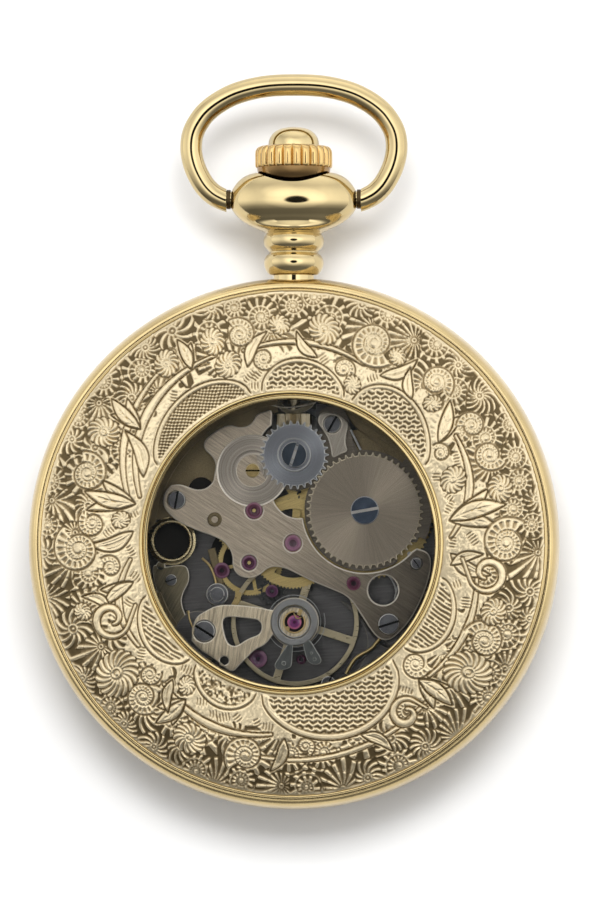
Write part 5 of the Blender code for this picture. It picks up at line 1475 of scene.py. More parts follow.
# dark collars standing for the shade at the bow pivots
for sgn, nm in ((1, "pivot_collar_right"), (-1, "pivot_collar_left")):
    place(nm, along_x(0.86, sgn * 5.60 if sgn > 0 else -5.95, sgn * 5.95 if sgn > 0 else -5.60, PIVOT_Z, bevel=0.04), m_collar_shade, "case")
place("bow_ring", shifted(bow, 0, -PIVOT_Z, 0), m_bow, "bow", ["bow"], at=(0.0, PIVOT_Z), angle=45.0)


# ---- crown: rounded flutes that die out on the shoulder
def flute(r, h, a):
    if r < 2.6 or h < 33.1:
        return r
    depth = 0.30 * min(1.0, max(0.0, (35.16 - h) / 0.30)) * min(1.0, max(0.0, (r - 2.6) / 0.4))
    depth *= min(1.0, max(0.0, (h - 33.10) / 0.12))
    t = abs(math.sin(12.0 * a))
    return r - depth * (1.0 - t ** 0.62)


crown = [(2.32, 35.08), (2.40, 35.18), (2.62, 35.22), (2.90, 35.20), (3.14, 35.12), (3.30, 34.98),
         (3.40, 34.78), (3.43, 34.50), (3.43, 34.10), (3.43, 33.70), (3.42, 33.45), (3.38, 33.32),
         (3.30, 33.26), (3.00, 33.24), (2.70, 33.02), (2.30, 32.72), (1.90, 32.50), (1.00, 32.30),
         (1.00, 24.20), (0.47, 24.20), (0.47, 34.00), (2.32, 34.00)]
crown = lathe(crown, 288, radius_at=flute)
crown.transform(Matrix.Rotation(math.radians(-90.0), 4, "X"))
place("crown_fluted", crown, m_crown, "crown", ["crown"], angle=50.0)
# the underside of the crown, in its darker painted-shade gold
skirt = lathe([(1.05, 31.75), (1.05, 31.62), (1.40, 31.62), (2.20, 31.74), (2.66, 31.98), (2.92, 32.26), (3.10, 32.60),
               (3.22, 32.96), (3.28, 33.28), (2.60, 33.30), (2.20, 32.60), (1.60, 32.00)], 144)
skirt.transform(Matrix.Rotation(math.radians(-90.0), 4, "X"))
place("crown_underside", skirt, m_skirt_shade, "crown", ["crown"], angle=40.0)
btn = lathe([(0.0, 36.92), (0.60, 36.89), (1.15, 36.78), (1.58, 36.58), (1.90, 36.30), (2.12, 35.96),
             (2.23, 35.62), (2.26, 35.30), (2.27, 35.10), (2.26, 34.95), (2.20, 34.86), (0.41, 34.86),
             (0.41, 26.60), (0.0, 26.60)], 72, closed=False)
btn.transform(Matrix.Rotation(math.radians(-90.0), 4, "X"))
place("crown_top_button", btn, m_case, "crown_button", ["crown_button"], angle=40.0)


# =================================================================== movement
# Casing ring, frosted, seen between the bridges and the window
ring = lathe([(13.90, 1.00), (14.0, 1.05), (20.50, 1.05), (20.50, -1.98), (13.90, -1.98)], 160)
ring = cut(ring, upright(1.30, 13.0, 21.6), block(-2.3, 2.3, 20.2, 21.5, -2.2, -1.15))
place("casing_ring", ring, m_matte_brass, "case", ["movement_ring"])

PLATE_LO, PLATE_HI = -1.20, -0.20
plate = lathe([(0.90, PLATE_HI), (13.30, PLATE_HI), (13.30, 0.98), (13.36, 1.04), (13.82, 1.04),
               (13.86, 1.00), (13.86, PLATE_LO), (0.90, PLATE_LO)], 160)
bosses = [rod(2.15, PLATE_HI - 0.3, 1.04, (-8.35, -8.10), 40, 0.06),
          rod(1.30, PLATE_HI - 0.3, 1.04, (-10.30, 3.82), 32, 0.06),
          rod(1.10, PLATE_HI - 0.3, 1.04, (9.00, -8.00), 32, 0.06)]
plate = union(plate, *bosses)
plate = cut(plate, block(-1.95, 1.95, 6.90, 14.2, -1.5, 1.5), block(-6.4, 6.4, 6.8, 12.7, -1.5, -0.62),
            rod(0.32, -1.5, 2.0, SET_LEVER), rod(1.56, -2.0, 2.0, (-10.75, 0.23)),
            rod(2.62, 0.55, 2.0, (-3.13, -10.2), 48), rod(6.2, -0.35, -0.05, BALANCE, 96),
            rod(0.42, 0.4, 2.0, (-11.75, -1.55), 20))
plate = union(plate, rod(0.24, -1.05, -0.50, (-4.20, 9.40), 16))
place("main_plate_rim", plate, m_plate, "case", ["main_plate"])

# A raised frosted ledge round the plate, its outer ring under the window
ledge = []
for a0, a1, r_in in ((97.0, 178.0, 12.35), (200.0, 235.0, 12.5), (8.0, 80.0, 12.6), (-52.0, -20.0, 12.5)):
    ledge.append(slab([arc(13.28, a0, a1, 60) + arc(r_in, a1, a0, 60)], 0.2, 0.98, 0.04))
place("plate_ledges", joined(*ledge), m_matte_brass, "case")

# brass bed seen past the bridge at the upper left and right of the window
beds = [slab([arc(13.28, 96.0, 172.0, 60) + chaikin([(-10.9, 2.3), (-8.6, 3.6), (-6.2, 6.6), (-4.6, 9.2), (-3.0, 10.9), (-1.4, 11.6)], 2, closed=False)], 0.1, 0.86, 0.06, 2),
        slab([arc(13.28, 12.0, 72.0, 50) + chaikin([(4.6, 11.6), (5.6, 9.9), (8.3, 8.9), (10.9, 6.6), (12.1, 4.2), (12.3, 2.9)], 2, closed=False)], 0.1, 0.90, 0.06, 2)]
bed_rims = [slab([arc(12.55, 100.0, 168.0, 50) + arc(12.42, 168.0, 100.0, 50)], 0.85, 0.93, 0.02),
            slab([arc(12.35, 20.0, 66.0, 50) + arc(12.22, 66.0, 20.0, 50)], 0.89, 0.97, 0.02),
            slab([arc(11.55, 26.0, 60.0, 50) + arc(11.47, 60.0, 26.0, 50)], 0.89, 0.95, 0.02)]
beds.append(slab([arc(7.2, 42.0, 106.0, 40, BARREL) + arc(5.12, 106.0, 42.0, 40, BARREL)], 0.60, 0.88, 0.05, 2))
bed_rims.append(slab([arc(6.42, 46.0, 100.0, 40, BARREL) + arc(6.34, 100.0, 46.0, 40, BARREL)], 0.87, 0.93, 0.02))
place("movement_bed", joined(*beds, *bed_rims), m_matte_brass, "case")
# near-black disc: painted shade in the hole in the bed
place("bed_hole", joined(rod(1.14, 0.80, 0.885, (-8.15, 4.72), 48)), m_shade_black, "case")
place("bed_hole_rim", slab([circle(1.22, 56, (-8.15, 4.72)), circle(1.12, 56, (-8.15, 4.72))], 0.80, 0.93, 0.03), m_matte_brass,
      "case")
# near-black oval: painted shade in an opening in the plate
oval = [(-6.45 + 0.98 * math.cos(a), -1.25 + 1.95 * math.sin(a)) for a in (2 * math.pi * i / 56 for i in range(56))]
place("plate_opening", slab([oval], -0.26, -0.165, 0.02), m_shade_black, "case")

# lobed lever plate down the left side, and a low step beside the balance
lever = slab([chaikin([(-12.55, -1.75), (-11.5, -2.15), (-10.2, -1.9), (-9.35, -2.0), (-9.15, -3.3), (-9.75, -4.3),
                       (-9.95, -5.2), (-9.55, -6.4), (-8.95, -7.3), (-9.7, -8.6), (-10.9, -6.9), (-11.7, -5.2),
                       (-12.3, -3.6)], 2), circle(0.42, 28, (-11.75, -2.0))], 0.30, 0.92, 0.07, 2)
place("side_lever", lever, m_side, "case")
step = slab([chaikin([(3.9, -4.9), (5.0, -5.4), (6.1, -6.6), (7.3, -8.7), (8.9, -9.6), (7.6, -10.9), (5.6, -12.0),
                      (4.9, -12.1), (5.9, -10.9), (6.5, -9.6), (6.55, -8.2), (6.0, -6.9), (5.0, -5.9)], 2)], -0.15, 0.42, 0.08, 2)
place("balance_step", step, m_plate, "case")

# ---- train bridge
bridge_outline = [
    (-10.75, 5.14), (-11.20, 4.70), (-11.43, 4.04), (-11.43, 3.19), (-10.92, 2.52),
    (-10.07, 1.84), (-8.38, 1.08), (-7.37, 0.74), (-6.35, 0.32),
    (-5.76, -0.19), (-5.33, -1.04), (-5.33, -2.05), (-5.00, -2.73),
    (-4.32, -3.07), (-3.47, -3.07), (-2.79, -2.73), (-2.29, -2.22),
    (-1.61, -2.05), (-0.59, -2.22), (0.59, -2.82), (1.78, -3.41),
    (3.47, -4.09), (4.66, -4.59), (5.33, -5.27), (6.01, -6.29),
    (6.86, -7.64), (7.53, -8.40), (8.21, -8.60), (8.90, -8.35),
    (10.20, -7.05), (11.30, -5.10), (12.00, -3.20), (12.25, -1.60),
    (11.90, -0.75), (10.92, -0.45)]
body_a = chaikin(bridge_outline, 2, closed=False)
arc1 = arc(5.50, -41.0, -173.0, 64, BARREL)
mid = chaikin([arc1[-1], (0.08, 2.21), (-0.76, 2.52), (-1.50, 3.30), (-1.69, 3.79)], 2, closed=False)
arc2 = arc(3.30, 238.0, 127.0, 40, CROWN_WHEEL)
tail = chaikin([arc2[-1],
    (-1.78, 11.83), (-2.46, 11.66), (-3.22, 11.41), (-3.47, 10.81),
    (-3.98, 10.31), (-4.83, 10.22), (-5.50, 10.48), (-6.35, 10.22),
    (-7.20, 9.63), (-7.87, 9.04), (-7.87, 8.27), (-7.11, 7.68),
    (-6.77, 6.92), (-6.94, 6.07), (-7.03, 5.40), (-7.70, 4.80),
    (-8.55, 4.72), (-9.23, 4.97), (-9.91, 5.23), (-10.75, 5.14)], 2, closed=False)
outline = body_a + arc1 + mid[1:] + arc2 + tail[1:-1]
dedup = [outline[0]]
for p in outline[1:]:
    if math.hypot(p[0] - dedup[-1][0], p[1] - dedup[-1][1]) > 0.02:
        dedup.append(p)
tb = slab([dedup, circle(0.78, 40, THIRD), circle(0.78, 40, CENTRE), circle(0.69, 40, FOURTH),
           circle(1.32, 56, (7.96, -4.13))], 1.10, 1.90, 0.13, 2)
tb = cut(tb, rod(3.20, 1.72, 2.3, SPOT, 120),
         rod(0.86, 1.42, 2.3, (-10.30, 3.82)), rod(0.98, 1.42, 2.3, (8.46, -7.13)),
         rod(0.42, 0.9, 2.3, (-10.30, 3.82)), rod(0.42, 0.9, 2.3, (8.46, -7.13)),
         rod(0.56, 1.50, 2.3, (10.90, -1.80)), rod(2.60, 0.9, 1.62, (10.60, -1.30), 48),
         rod(0.66, 1.45, 2.3, (5.36, -3.54), 32))
place("train_bridge_plate", tb, m_bridge, "case", ["train_bridge"])

# recess with turned steps, an inner dish and its screw
spot = lathe([(0.0, 1.66), (0.70, 1.66), (0.72, 1.60), (1.34, 1.60), (1.38, 1.70), (1.44, 1.745),
              (1.50, 1.745), (1.58, 1.73), (3.05, 1.73), (3.14, 1.76), (3.19, 1.80), (3.19, 1.715), (0.0, 1.50)],
             128, closed=False)
place("recess_dish", shifted(spot, SPOT[0], SPOT[1]), m_spot, "case")
place("recess_screw", screw(0.62, 1.67, 1.86, 0.3, 1.50, 0.0, 0.15, 0.10), m_screw_brass, "case",
      at=SPOT)

bb = slab([circle(5.34, 120, BARREL)], 1.10, 1.45)
bb = union(bb, slab([circle(3.14, 80, CROWN_WHEEL)], 1.11, 1.44))
bb = union(bb, slab([chaikin([(2.6, 6.2), (6.0, 7.6), (5.2, 9.2), (4.9, 11.2), (4.2, 12.1), (2.9, 12.1),
                              (2.15, 11.4), (2.4, 10.2), (3.0, 9.0)], 2)], 1.105, 1.445))
bb = union(bb, slab([[(BARREL[0], BARREL[1])] + arc(5.92, -26.0, 52.0, 60, BARREL)], 1.105, 1.445))
bb = cut(bb, block(-2.0, 2.3, 9.9, 13.0, 0.5, 2.0), rod(1.05, 0.5, 2.0, BARREL), rod(0.70, 0.5, 2.0, CROWN_WHEEL),
         rod(0.32, 0.5, 2.0, SET_LEVER), block(9.2, 11.2, -1.6, 0.1, 0.5, 2.2))
place("barrel_bridge_seat", bb, m_seat, "case", ["barrel_bridge"])
cp = slab([chaikin([(2.28, 11.33), (2.72, 11.61), (3.40, 11.58), (3.96, 11.39), (4.77, 10.84), (4.95, 10.34),
                    (4.70, 9.52), (4.64, 8.80), (4.89, 8.10), (4.20, 7.85), (3.45, 7.45), (3.37, 8.29),
                    (3.15, 9.16), (2.78, 9.84), (2.18, 10.60)], 2), circle(0.80, 32, SET_LEVER)],
          1.46, 1.90, 0.12, 2)
place("keyless_cover", cp, m_bridge_cover, "case", ["cover_plate"])

# ---- ratchet, crown wheel
N_RATCHET, N_CROWN, N_CENTRE_P = 52, 30, 12
pr, pcw = pitch_radii(BARREL, CROWN_WHEEL, N_RATCHET, N_CROWN)
phase_c = math.pi / 2 + math.pi / N_CROWN
phase_r = mesh_phase(CROWN_WHEEL, phase_c, N_CROWN, BARREL, N_RATCHET)
mod_r, mod_c = 2 * pr / N_RATCHET, 2 * pcw / N_CROWN
rw = slab([gear(N_RATCHET, pr + 0.66 * mod_r, pr - 0.80 * mod_r, phase_r, 0.20, 0.55), circle(0.62, 40)], 1.50, 1.86, 0.075)
place("ratchet_wheel_cut", rw, m_ratchet, "ratchet", ["ratchet_wheel"], at=BARREL)
place("ratchet_screw_cut", screw(1.24, 1.88, 2.12, 0.45, 1.10, 10.0, 0.26, 0.20), m_screw_blue, "ratchet",
      ["ratchet_screw"], at=BARREL)
wh = slab([gear(N_CROWN, pcw + 0.74 * mod_c, pcw - 0.85 * mod_c, phase_c, 0.20, 0.58), circle(0.90, 48)], 1.52, 1.88, 0.075)
place("crown_wheel_cut", wh, m_crownwheel, "crown_wheel", ["crown_wheel"], at=CROWN_WHEEL)
place("crown_wheel_ring", slab([circle(0.84, 48), circle(0.40, 24)], 1.46, 1.90), m_steel, "case",
      ["crown_wheel_seat"], at=CROWN_WHEEL)
washer = lathe([(1.36, 1.905), (1.50, 1.905), (1.53, 1.95), (1.50, 2.0), (1.44, 2.02), (1.38, 2.0), (1.36, 1.96)], 96)
place("crown_wheel_collar", washer, m_steel, "case", at=CROWN_WHEEL)
place("crown_wheel_screw_cut", screw(1.15, 1.92, 2.12, 0.35, 1.20, 72.0, 0.26, 0.20), m_screw_dark, "case",
      ["crown_wheel_screw"], at=CROWN_WHEEL)

# ---- barrel
pb, pcp = pitch_radii(BARREL, CENTRE, N_BARREL, N_CENTRE_P)
mod_b = 2 * pb / N_BARREL
bt = slab([gear(N_BARREL, pb + 0.45 * mod_b, pb - 0.75 * mod_b, 0.0, 0.2, 0.6), circle(5.30, 96)], -0.05, 0.22, 0.03)
drum = lathe([(5.60, 0.62), (5.60, 0.14), (5.52, 0.10), (0.74, -0.06), (0.74, 0.06), (5.15, 0.08), (5.15, 0.62)], 96)
place("barrel_drum", union(bt, drum), m_brass, "barrel", ["barrel"], at=BARREL)

# ---- click, its screw and wire
ck = slab([chaikin([(0.55, 0.0), (0.40, -0.42), (0.0, -0.55), (-0.42, -0.38), (-0.62, 0.20), (-0.88, 0.93),
                    (-0.62, 1.10), (-0.10, 0.85), (0.40, 0.45)], 2), circle(0.22, 20)], 1.20, 1.58, 0.05)
place("click_pawl", ck, m_steel, "click", ["click"], at=CLICK)
place("click_screw_cut", screw(0.47, 1.64, 1.90, 0.17, 1.15, -55.0, 0.12, 0.12), m_screw, "case",
      ["click_screw"], at=CLICK)
cs = flow([(9.95, -2.55, 1.02), (9.40, -3.3, 1.02), (9.10, -4.3, 1.02), (8.95, -4.95, 1.02)], 6)
place("click_wire", wire(cs, 0.07, 4), m_steel, "case", ["click_spring"])

# ---- the train
N_CENTRE, N_THIRD, N_THIRD_P, N_FOURTH, N_FOURTH_P, N_ESCAPE_P, N_ESCAPE = TRAIN
pc, ptp = pitch_radii(CENTRE, THIRD, N_CENTRE, N_THIRD_P)
pt, pfp = pitch_radii(THIRD, FOURTH, N_THIRD, N_FOURTH_P)
pf, pep = pitch_radii(FOURTH, ESCAPE, N_FOURTH, N_ESCAPE_P)
ph_cp = mesh_phase(BARREL, 0.0, N_BARREL, CENTRE, N_CENTRE_P)
ph_tp = mesh_phase(CENTRE, 0.0, N_CENTRE, THIRD, N_THIRD_P)
ph_fp = mesh_phase(THIRD, 0.0, N_THIRD, FOURTH, N_FOURTH_P)
ph_ep = mesh_phase(FOURTH, 0.0, N_FOURTH, ESCAPE, N_ESCAPE_P)


def wheel(n, rp, phase, h0, h1, count, arm, rin, rout, ph):
    m = 2 * rp / n
    return slab([gear(n, rp + 0.45 * m, rp - 0.75 * m, phase, 0.2, 0.55)] + windows(rin, rout, count, arm, ph, 20),
                h0, h1, 0.02)


def leaf(n, rp, phase, h0, h1):
    m = 2 * rp / n
    return slab([gear(n, rp + 0.45 * m, rp - 0.75 * m, phase, 0.25, 0.6)], h0, h1, 0.02)


cw2 = union(wheel(N_CENTRE, pc, 0.0, 0.76, 0.88, 4, 0.26, 0.9, 3.05, 0.9), leaf(N_CENTRE_P, pcp, ph_cp, -0.04, 0.28),
            rod(0.30, -1.30, 1.74, steps=24))
place("centre_wheel_cut", cw2, m_brass, "centre", ["centre_wheel"])
t3 = union(wheel(N_THIRD, pt, 0.0, 0.46, 0.58, 4, 0.2, 0.75, pt * 0.82, 0.4), leaf(N_THIRD_P, ptp, ph_tp, 0.68, 0.94),
           rod(0.16, -0.16, 1.76, steps=20))
place("third_wheel_cut", t3, m_brass, "third_wheel", ["third_wheel"], at=THIRD)
t4 = union(wheel(N_FOURTH, pf, 0.0, 0.02, 0.14, 4, 0.15, 0.6, pf * 0.84, 0.2), leaf(N_FOURTH_P, pfp, ph_fp, 0.40, 0.66),
           rod(0.16, -0.16, 1.76, steps=20))
place("fourth_wheel_cut", t4, m_brass, "fourth_wheel", ["fourth_wheel"], at=FOURTH)
ESC_PHASE = math.atan2(PALLET[1] - ESCAPE[1], PALLET[0] - ESCAPE[0])
esc = []
for i in range(N_ESCAPE):
    a = ESC_PHASE + 2 * math.pi * (i + 0.5) / N_ESCAPE
    for r, d in ((0.98, -0.12), (1.13, -0.01), (1.26, 0.04), (1.24, 0.07), (0.98, 0.13)):
        esc.append((r * math.cos(a + d), r * math.sin(a + d)))
es = union(slab([esc] + windows(0.42, 0.86, 4, 0.10, 0.3, 10), 0.30, 0.42, 0.01), leaf(N_ESCAPE_P, pep, ph_ep, -0.02, 0.22),
           rod(0.12, -0.16, 1.00, steps=16))
place("escape_wheel_cut", es, m_esc, "escape_wheel", ["escape_wheel"], at=ESCAPE)

# ---- balance: a gilt rim on four arms, each arm with a milled line
bal = slab([circle(5.66, 160)] + windows(0.80, 5.24, 4, 0.34, math.radians(-18.0), 36), 0.50, 0.70, 0.05, 2)
grooves = [turned_by(block(0.95, 5.2, -0.07, 0.07, 0.66, 0.9), -18.0 + 90 * k) for k in range(4)]
bal = cut(bal, *grooves)
bal = union(bal, rod(0.22, -0.10, 1.60, steps=24), slab([circle(0.80, 48)], 0.46, 0.78, 0.04), slab([circle(0.30, 24)], 0.26, 0.52))
place("balance_wheel_cut", bal, m_gilt, "balance", ["balance_wheel"], at=BALANCE)


def spiral(r0, r1, turns, per_turn, phase=0.0):
    n = int(turns * per_turn)
    return [((r0 + (r1 - r0) * i / n) * math.cos(phase + turns * 2 * math.pi * i / n),
             (r0 + (r1 - r0) * i / n) * math.sin(phase + turns * 2 * math.pi * i / n)) for i in range(n + 1)]


hs = strip(spiral(0.42, 2.70, 6.0, 40, 0.3), 0.06, 0.93, 1.04, 0.0)
place("balance_spring", hs, m_steel, "case", ["hairspring"], at=BALANCE)

# ---- balance cock
cock_left = chaikin([(-3.30, -5.61), (-2.12, -5.78), ], 1, closed=False)
co = [(-8.95, -8.60), (-8.89, -7.47), (-8.55, -6.46), (-7.70, -5.95), (-6.69, -5.44), (-5.33, -5.40), (-3.30, -5.58)]
co = chaikin(co + [(-2.05, -5.85)], 2, closed=False)
ring_arc = arc(2.17, 150.0, -150.0, 72, BALANCE)
lo = chaikin([ring_arc[-1], (-2.46, -9.00), (-3.30, -9.33), (-3.98, -10.01), (-4.66, -10.69), (-5.33, -11.45),
              (-6.18, -10.86), (-7.20, -10.01), (-8.21, -9.45), (-8.95, -8.60)], 2, closed=False)
cock_hole = chaikin([(-6.18, -6.63), (-5.50, -6.46), (-3.98, -6.63), (-2.79, -6.79), (-2.76, -7.98),
                     (-3.98, -8.40), (-4.83, -9.00), (-5.33, -9.08), (-5.84, -8.74), (-6.18, -7.47)], 2)
ck_out = [p for i, p in enumerate(co[:-1] + ring_arc + lo[1:-1])]
dd = [ck_out[0]]
for p in ck_out[1:]:
    if math.hypot(p[0] - dd[-1][0], p[1] - dd[-1][1]) > 0.02:
        dd.append(p)
cock = slab([dd, cock_hole, circle(0.98, 48, (-7.82, -7.76)), circle(0.86, 48, BALANCE),
             circle(0.38, 28, (-6.06, -10.35))], 1.12, 1.84, 0.12, 2)
place("balance_cock_plate", cock, m_cock, "case", ["balance_cock"])
place("cock_screw_cut", screw(0.93, 1.46, 1.86, 0.42, 1.06, -32.0, 0.22, 0.18), m_screw, "case",
      ["cock_screw"], at=(-7.82, -7.76))

# shock setting: bright ring, near-black disc as painted shade in the well, ruby and a gilt lyre spring
ss = lathe([(0.0, 1.40), (1.26, 1.40), (1.27, 1.86), (1.30, 1.94), (1.35, 1.97), (1.40, 1.94),
            (1.44, 1.86), (1.44, 1.30), (0.0, 1.30)], 96, closed=False)
place("shock_ring", ss, m_steel, "case", ["shock_setting"], at=BALANCE)
# near-black disc: painted shade in the well of the shock setting
well = lathe([(0.0, 1.48), (1.25, 1.48), (1.25, 1.41), (0.0, 1.41)], 64, closed=False)
place("shock_well", well, m_shade_black, "case", at=BALANCE)
place("balance_jewel", lathe([(0.0, 1.76), (0.28, 1.755), (0.50, 1.72), (0.62, 1.64), (0.62, 1.50), (0.0, 1.50)], 56, closed=False),
      m_ruby_b, "case", at=BALANCE)
ly = [(0.93 * math.cos(math.radians(a)), 0.93 * math.sin(math.radians(a)), 1.84) for a in range(88, 393, 8)]
lyre = wire(ly, 0.085, 4)
tab = joined(lyre, strip([(0.36, 0.62), (0.52, 0.90), (0.66, 1.22)], 0.34, 1.78, 1.92, 0.03),
             rod(0.20, 1.76, 1.94, (-0.60, -0.56), 24, 0.03),
             wire([(-0.05, 0.80, 1.84), (0.16, 0.36, 1.82), (0.34, 0.30, 1.82), (0.62, 0.44, 1.84)], 0.06, 3))
place("lyre_spring", tab, m_gilt_spring, "case", at=BALANCE)

# regulator ring with its two pointers
rg = lathe([(1.47, 1.87), (2.05, 1.87), (2.10, 1.93), (2.08, 2.03), (2.00, 2.09), (1.55, 2.09), (1.48, 2.04)], 96)
arm1 = slab([chaikin([(-0.50, -1.80), (-0.95, -2.50), (-1.72, -3.62), (-1.70, -4.02), (-1.35, -4.24), (-0.72, -4.16),
                      (-0.30, -3.98), (-0.20, -3.60), (-0.16, -2.70), (-0.08, -1.95)], 2)], 1.90, 2.06, 0.05, 2)
arm2 = slab([chaikin([(0.72, -1.70), (0.86, -2.40), (1.10, -3.30), (1.50, -3.72), (2.15, -3.74), (2.42, -3.45),
                      (2.30, -3.05), (1.95, -2.50), (1.35, -1.45)], 2)], 1.90, 2.06, 0.05, 2)
place("regulator_ring", rg, m_regulator, "regulator", ["regulator"], at=BALANCE)
place("regulator_arms", joined(arm1, arm2, rod(0.19, 2.0, 2.13, (-0.92, -3.62), 24, 0.03),
                               rod(0.12, 2.0, 2.11, (1.52, -2.72), 20, 0.02), rod(0.16, 2.0, 2.11, (1.80, -3.26), 20, 0.02)),
      m_pointer, "regulator", ["regulator"], at=BALANCE)

# ---- jewels in the bridge and in the plate
def stone(r, h_top, hole, depth=0.30):
    return lathe([(0.0, h_top - 0.10), (hole, h_top - 0.09), (hole * 1.5, h_top - 0.02), (r * 0.72, h_top),
                  (r * 0.9, h_top - 0.02), (r, h_top - 0.07), (r, h_top - depth), (0.0, h_top - depth)], 56, closed=False)


place("jewel_centre_cut", stone(0.73, 1.85, 0.30), m_ruby_c, "case", ["jewel_centre"], at=CENTRE)
place("jewel_third_cut", stone(0.73, 1.85, 0.20), m_ruby_t, "case", ["jewel_third"], at=THIRD)
place("jewel_fourth_cut", stone(0.64, 1.85, 0.18), m_ruby_f, "case", ["jewel_fourth"], at=FOURTH)
for nm, at, r, top, mat in (("jewel_click_side", (5.36, -3.54), 0.62, 1.80, m_ruby_t),
                            ("jewel_escape", (-1.90, -4.22), 0.55, 1.0, m_ruby_p),
                            ("jewel_left", (-6.35, -2.39), 0.70, 0.45, m_ruby_f),
                            ("jewel_lower", (-3.13, -10.2), 0.78, 0.62, m_ruby_p),
                            ("jewel_lower_small", (0.67, -10.27), 0.42, 0.10, m_ruby_f)):
    h = top - 0.30 if nm != "jewel_click_side" else 1.46
    place(nm, stone(r, top, r * 0.28, top - h), mat, "case", at=at)

# ---- screws and studs
for nm, node_name, at, r, top, ang, mat in (
        ("bridge_screw_left_cut", "bridge_screw_left", (-10.30, 3.82), 0.80, 1.88, 80.0, m_screw),
        ("bridge_screw_right_cut", "bridge_screw_right", (8.46, -7.13), 0.92, 1.88, 17.0, m_screw),
        ("keyless_screw_cut", "setting_lever_screw", SET_LEVER, 0.76, 1.90, 60.0, m_screw)):
    place(nm, screw(r, 1.46, top, 0.30, 1.10, ang, 0.20, 0.16), mat, "case", [node_name], at=at)

# ---- small pieces seen through the openings
stud = lathe([(0.0, 1.80), (0.24, 1.80), (0.30, 1.92), (0.40, 1.98), (0.55, 1.97), (0.64, 1.90), (0.64, 1.40), (0.0, 1.40)], 48, closed=False)
place("stud_left", stud, m_matte_brass, "case", at=(-6.90, 2.10))
eye = lathe([(1.56, 1.08), (1.60, 1.20), (1.68, 1.27), (1.78, 1.28), (1.86, 1.20), (1.90, 1.06), (2.02, 1.00), (2.12, 0.98),
             (2.16, 0.90), (2.16, 0.50), (1.56, 0.50)], 96)
place("eyelet", eye, m_eye, "case", at=(-10.75, 0.23))
# near-black rod: painted shade inside the eyelet
place("eyelet_well", rod(1.55, -1.10, 0.10, steps=48), m_shade_black, "case", at=(-10.75, 0.23))
place("screw_small_left", screw(0.50, 1.02, 1.24, 0.2, 0.8, 20.0, 0.12, 0.12), m_screw, "case",
      at=(-10.80, -3.24))
place("screw_boss_left", union(rod(0.98, -0.30, 0.80, steps=48, bevel=0.08), screw(0.65, 0.80, 1.02, 0.3, 0.6, -20.0, 0.14, 0.14)),
      m_screw, "case", at=(-6.74, -4.50))
place("screw_lower_right", screw(0.62, 1.02, 1.22, 0.3, 0.6, 64.0, 0.13, 0.12), m_screw, "case",
      at=(3.10, -12.35))
wires = [
    # bright spring beside the round hole, and the long brass spring below it
    ("spring_right_a", [(8.10, -2.60), (8.62, -3.10), (8.98, -3.80), (9.10, -4.60), (9.02, -5.30)], 0.07, 0.95, m_steel, "steel"),
    ("spring_right_b", [(7.95, -8.05), (7.53, -8.57), (6.86, -9.33), (5.50, -10.18), (4.66, -11.53)], 0.17, 0.98, m_gilt_spring, "brass_wheels"),
    ("spring_left_a", [(-9.30, -5.95), (-9.15, -6.80), (-8.75, -7.65), (-8.10, -8.40)], 0.14, 0.92, m_gilt_spring, "brass_wheels"),
    ("spring_left_b", [(-8.10, -1.30), (-7.40, -2.00), (-6.95, -3.10), (-6.80, -4.10)], 0.11, 0.60, m_gilt_spring, "brass_wheels"),
    ("spring_top", [(-2.20, 12.30), (-0.80, 12.05), (0.60, 12.15), (1.90, 12.45)], 0.10, 0.80, m_side, "brass_wheels"),
]
for nm, path, r, h, mat, sl in wires:
    place(nm, wire(flow([(x, y, h) for x, y in path], 6), r, 4), mat, "case")
strips = [
    ("bar_left", [(-7.30, -0.45), (-7.05, -1.40), (-6.75, -2.50), (-6.55, -3.80)], 0.70, -0.15, 0.25, m_matte_brass, "brass_wheels"),
    ("bar_left_low", [(-4.85, -4.30), (-4.95, -4.95), (-5.40, -5.75), (-5.85, -6.30)], 0.55, 0.72, 1.05, m_gilt_spring, "brass_wheels"),
    ("rim_lever", [(9.70, 5.90), (10.90, 4.60), (11.70, 3.00), (12.00, 1.40)], 0.50, 0.30, 0.60, m_steel, "steel"),
    ("click_blade", [(5.10, 10.02), (5.55, 9.10), (5.98, 8.24)], 0.20, 1.46, 1.60, m_steel, "steel"),
    ("top_lever", [(-1.50, 12.60), (-0.60, 11.70), (0.20, 11.60), (1.30, 12.10), (1.90, 12.80)], 0.50, 0.25, 0.55, m_side, "brass_wheels"),
]
for nm, path, wd, h0, h1, mat, sl in strips:
    place(nm, strip(flow([tuple(p) for p in path], 8), wd, h0, h1, 0.05), mat, "case")

# winding pinion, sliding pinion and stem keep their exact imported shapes
# ---- dial side
m_dial = Shade("dial_enamel")
_n = m_dial.noise(m_dial.coords((1000, 1000, 1000)), 0.6, 3.0)
m_dial.set(Base_Color=m_dial.ramp(_n, [(0.3, lin(240, 237, 228)), (0.7, lin(248, 246, 240))]),
           Metallic=0.0, Roughness=0.18, Coat_Weight=0.5, Coat_Roughness=0.06)
m_dial = m_dial.m
m_print = matte("dial_black_enamel", lin(28, 28, 30), 0.35, 0.0, 2.6, 0.15, 0.05)
m_hand = polished("hands_blued", lin(52, 62, 96), 0.14)

FRONT = Matrix.Rotation(math.radians(180.0), 4, "Y")


def front_slab(loops, depth):
    """Outlines drawn as seen from the dial side, raised off the dial face."""
    me = slab(loops, 0.0, depth)
    me.transform(FRONT)
    return shifted(me, 0, 0, -2.36)


dial = lathe([(1.12, -2.05), (20.3, -2.05), (20.3, -2.30), (20.24, -2.36), (6.0, -2.36), (1.20, -2.36), (1.12, -2.32)], 160)
place("dial_plate", dial, m_dial, "case", ["dial"])

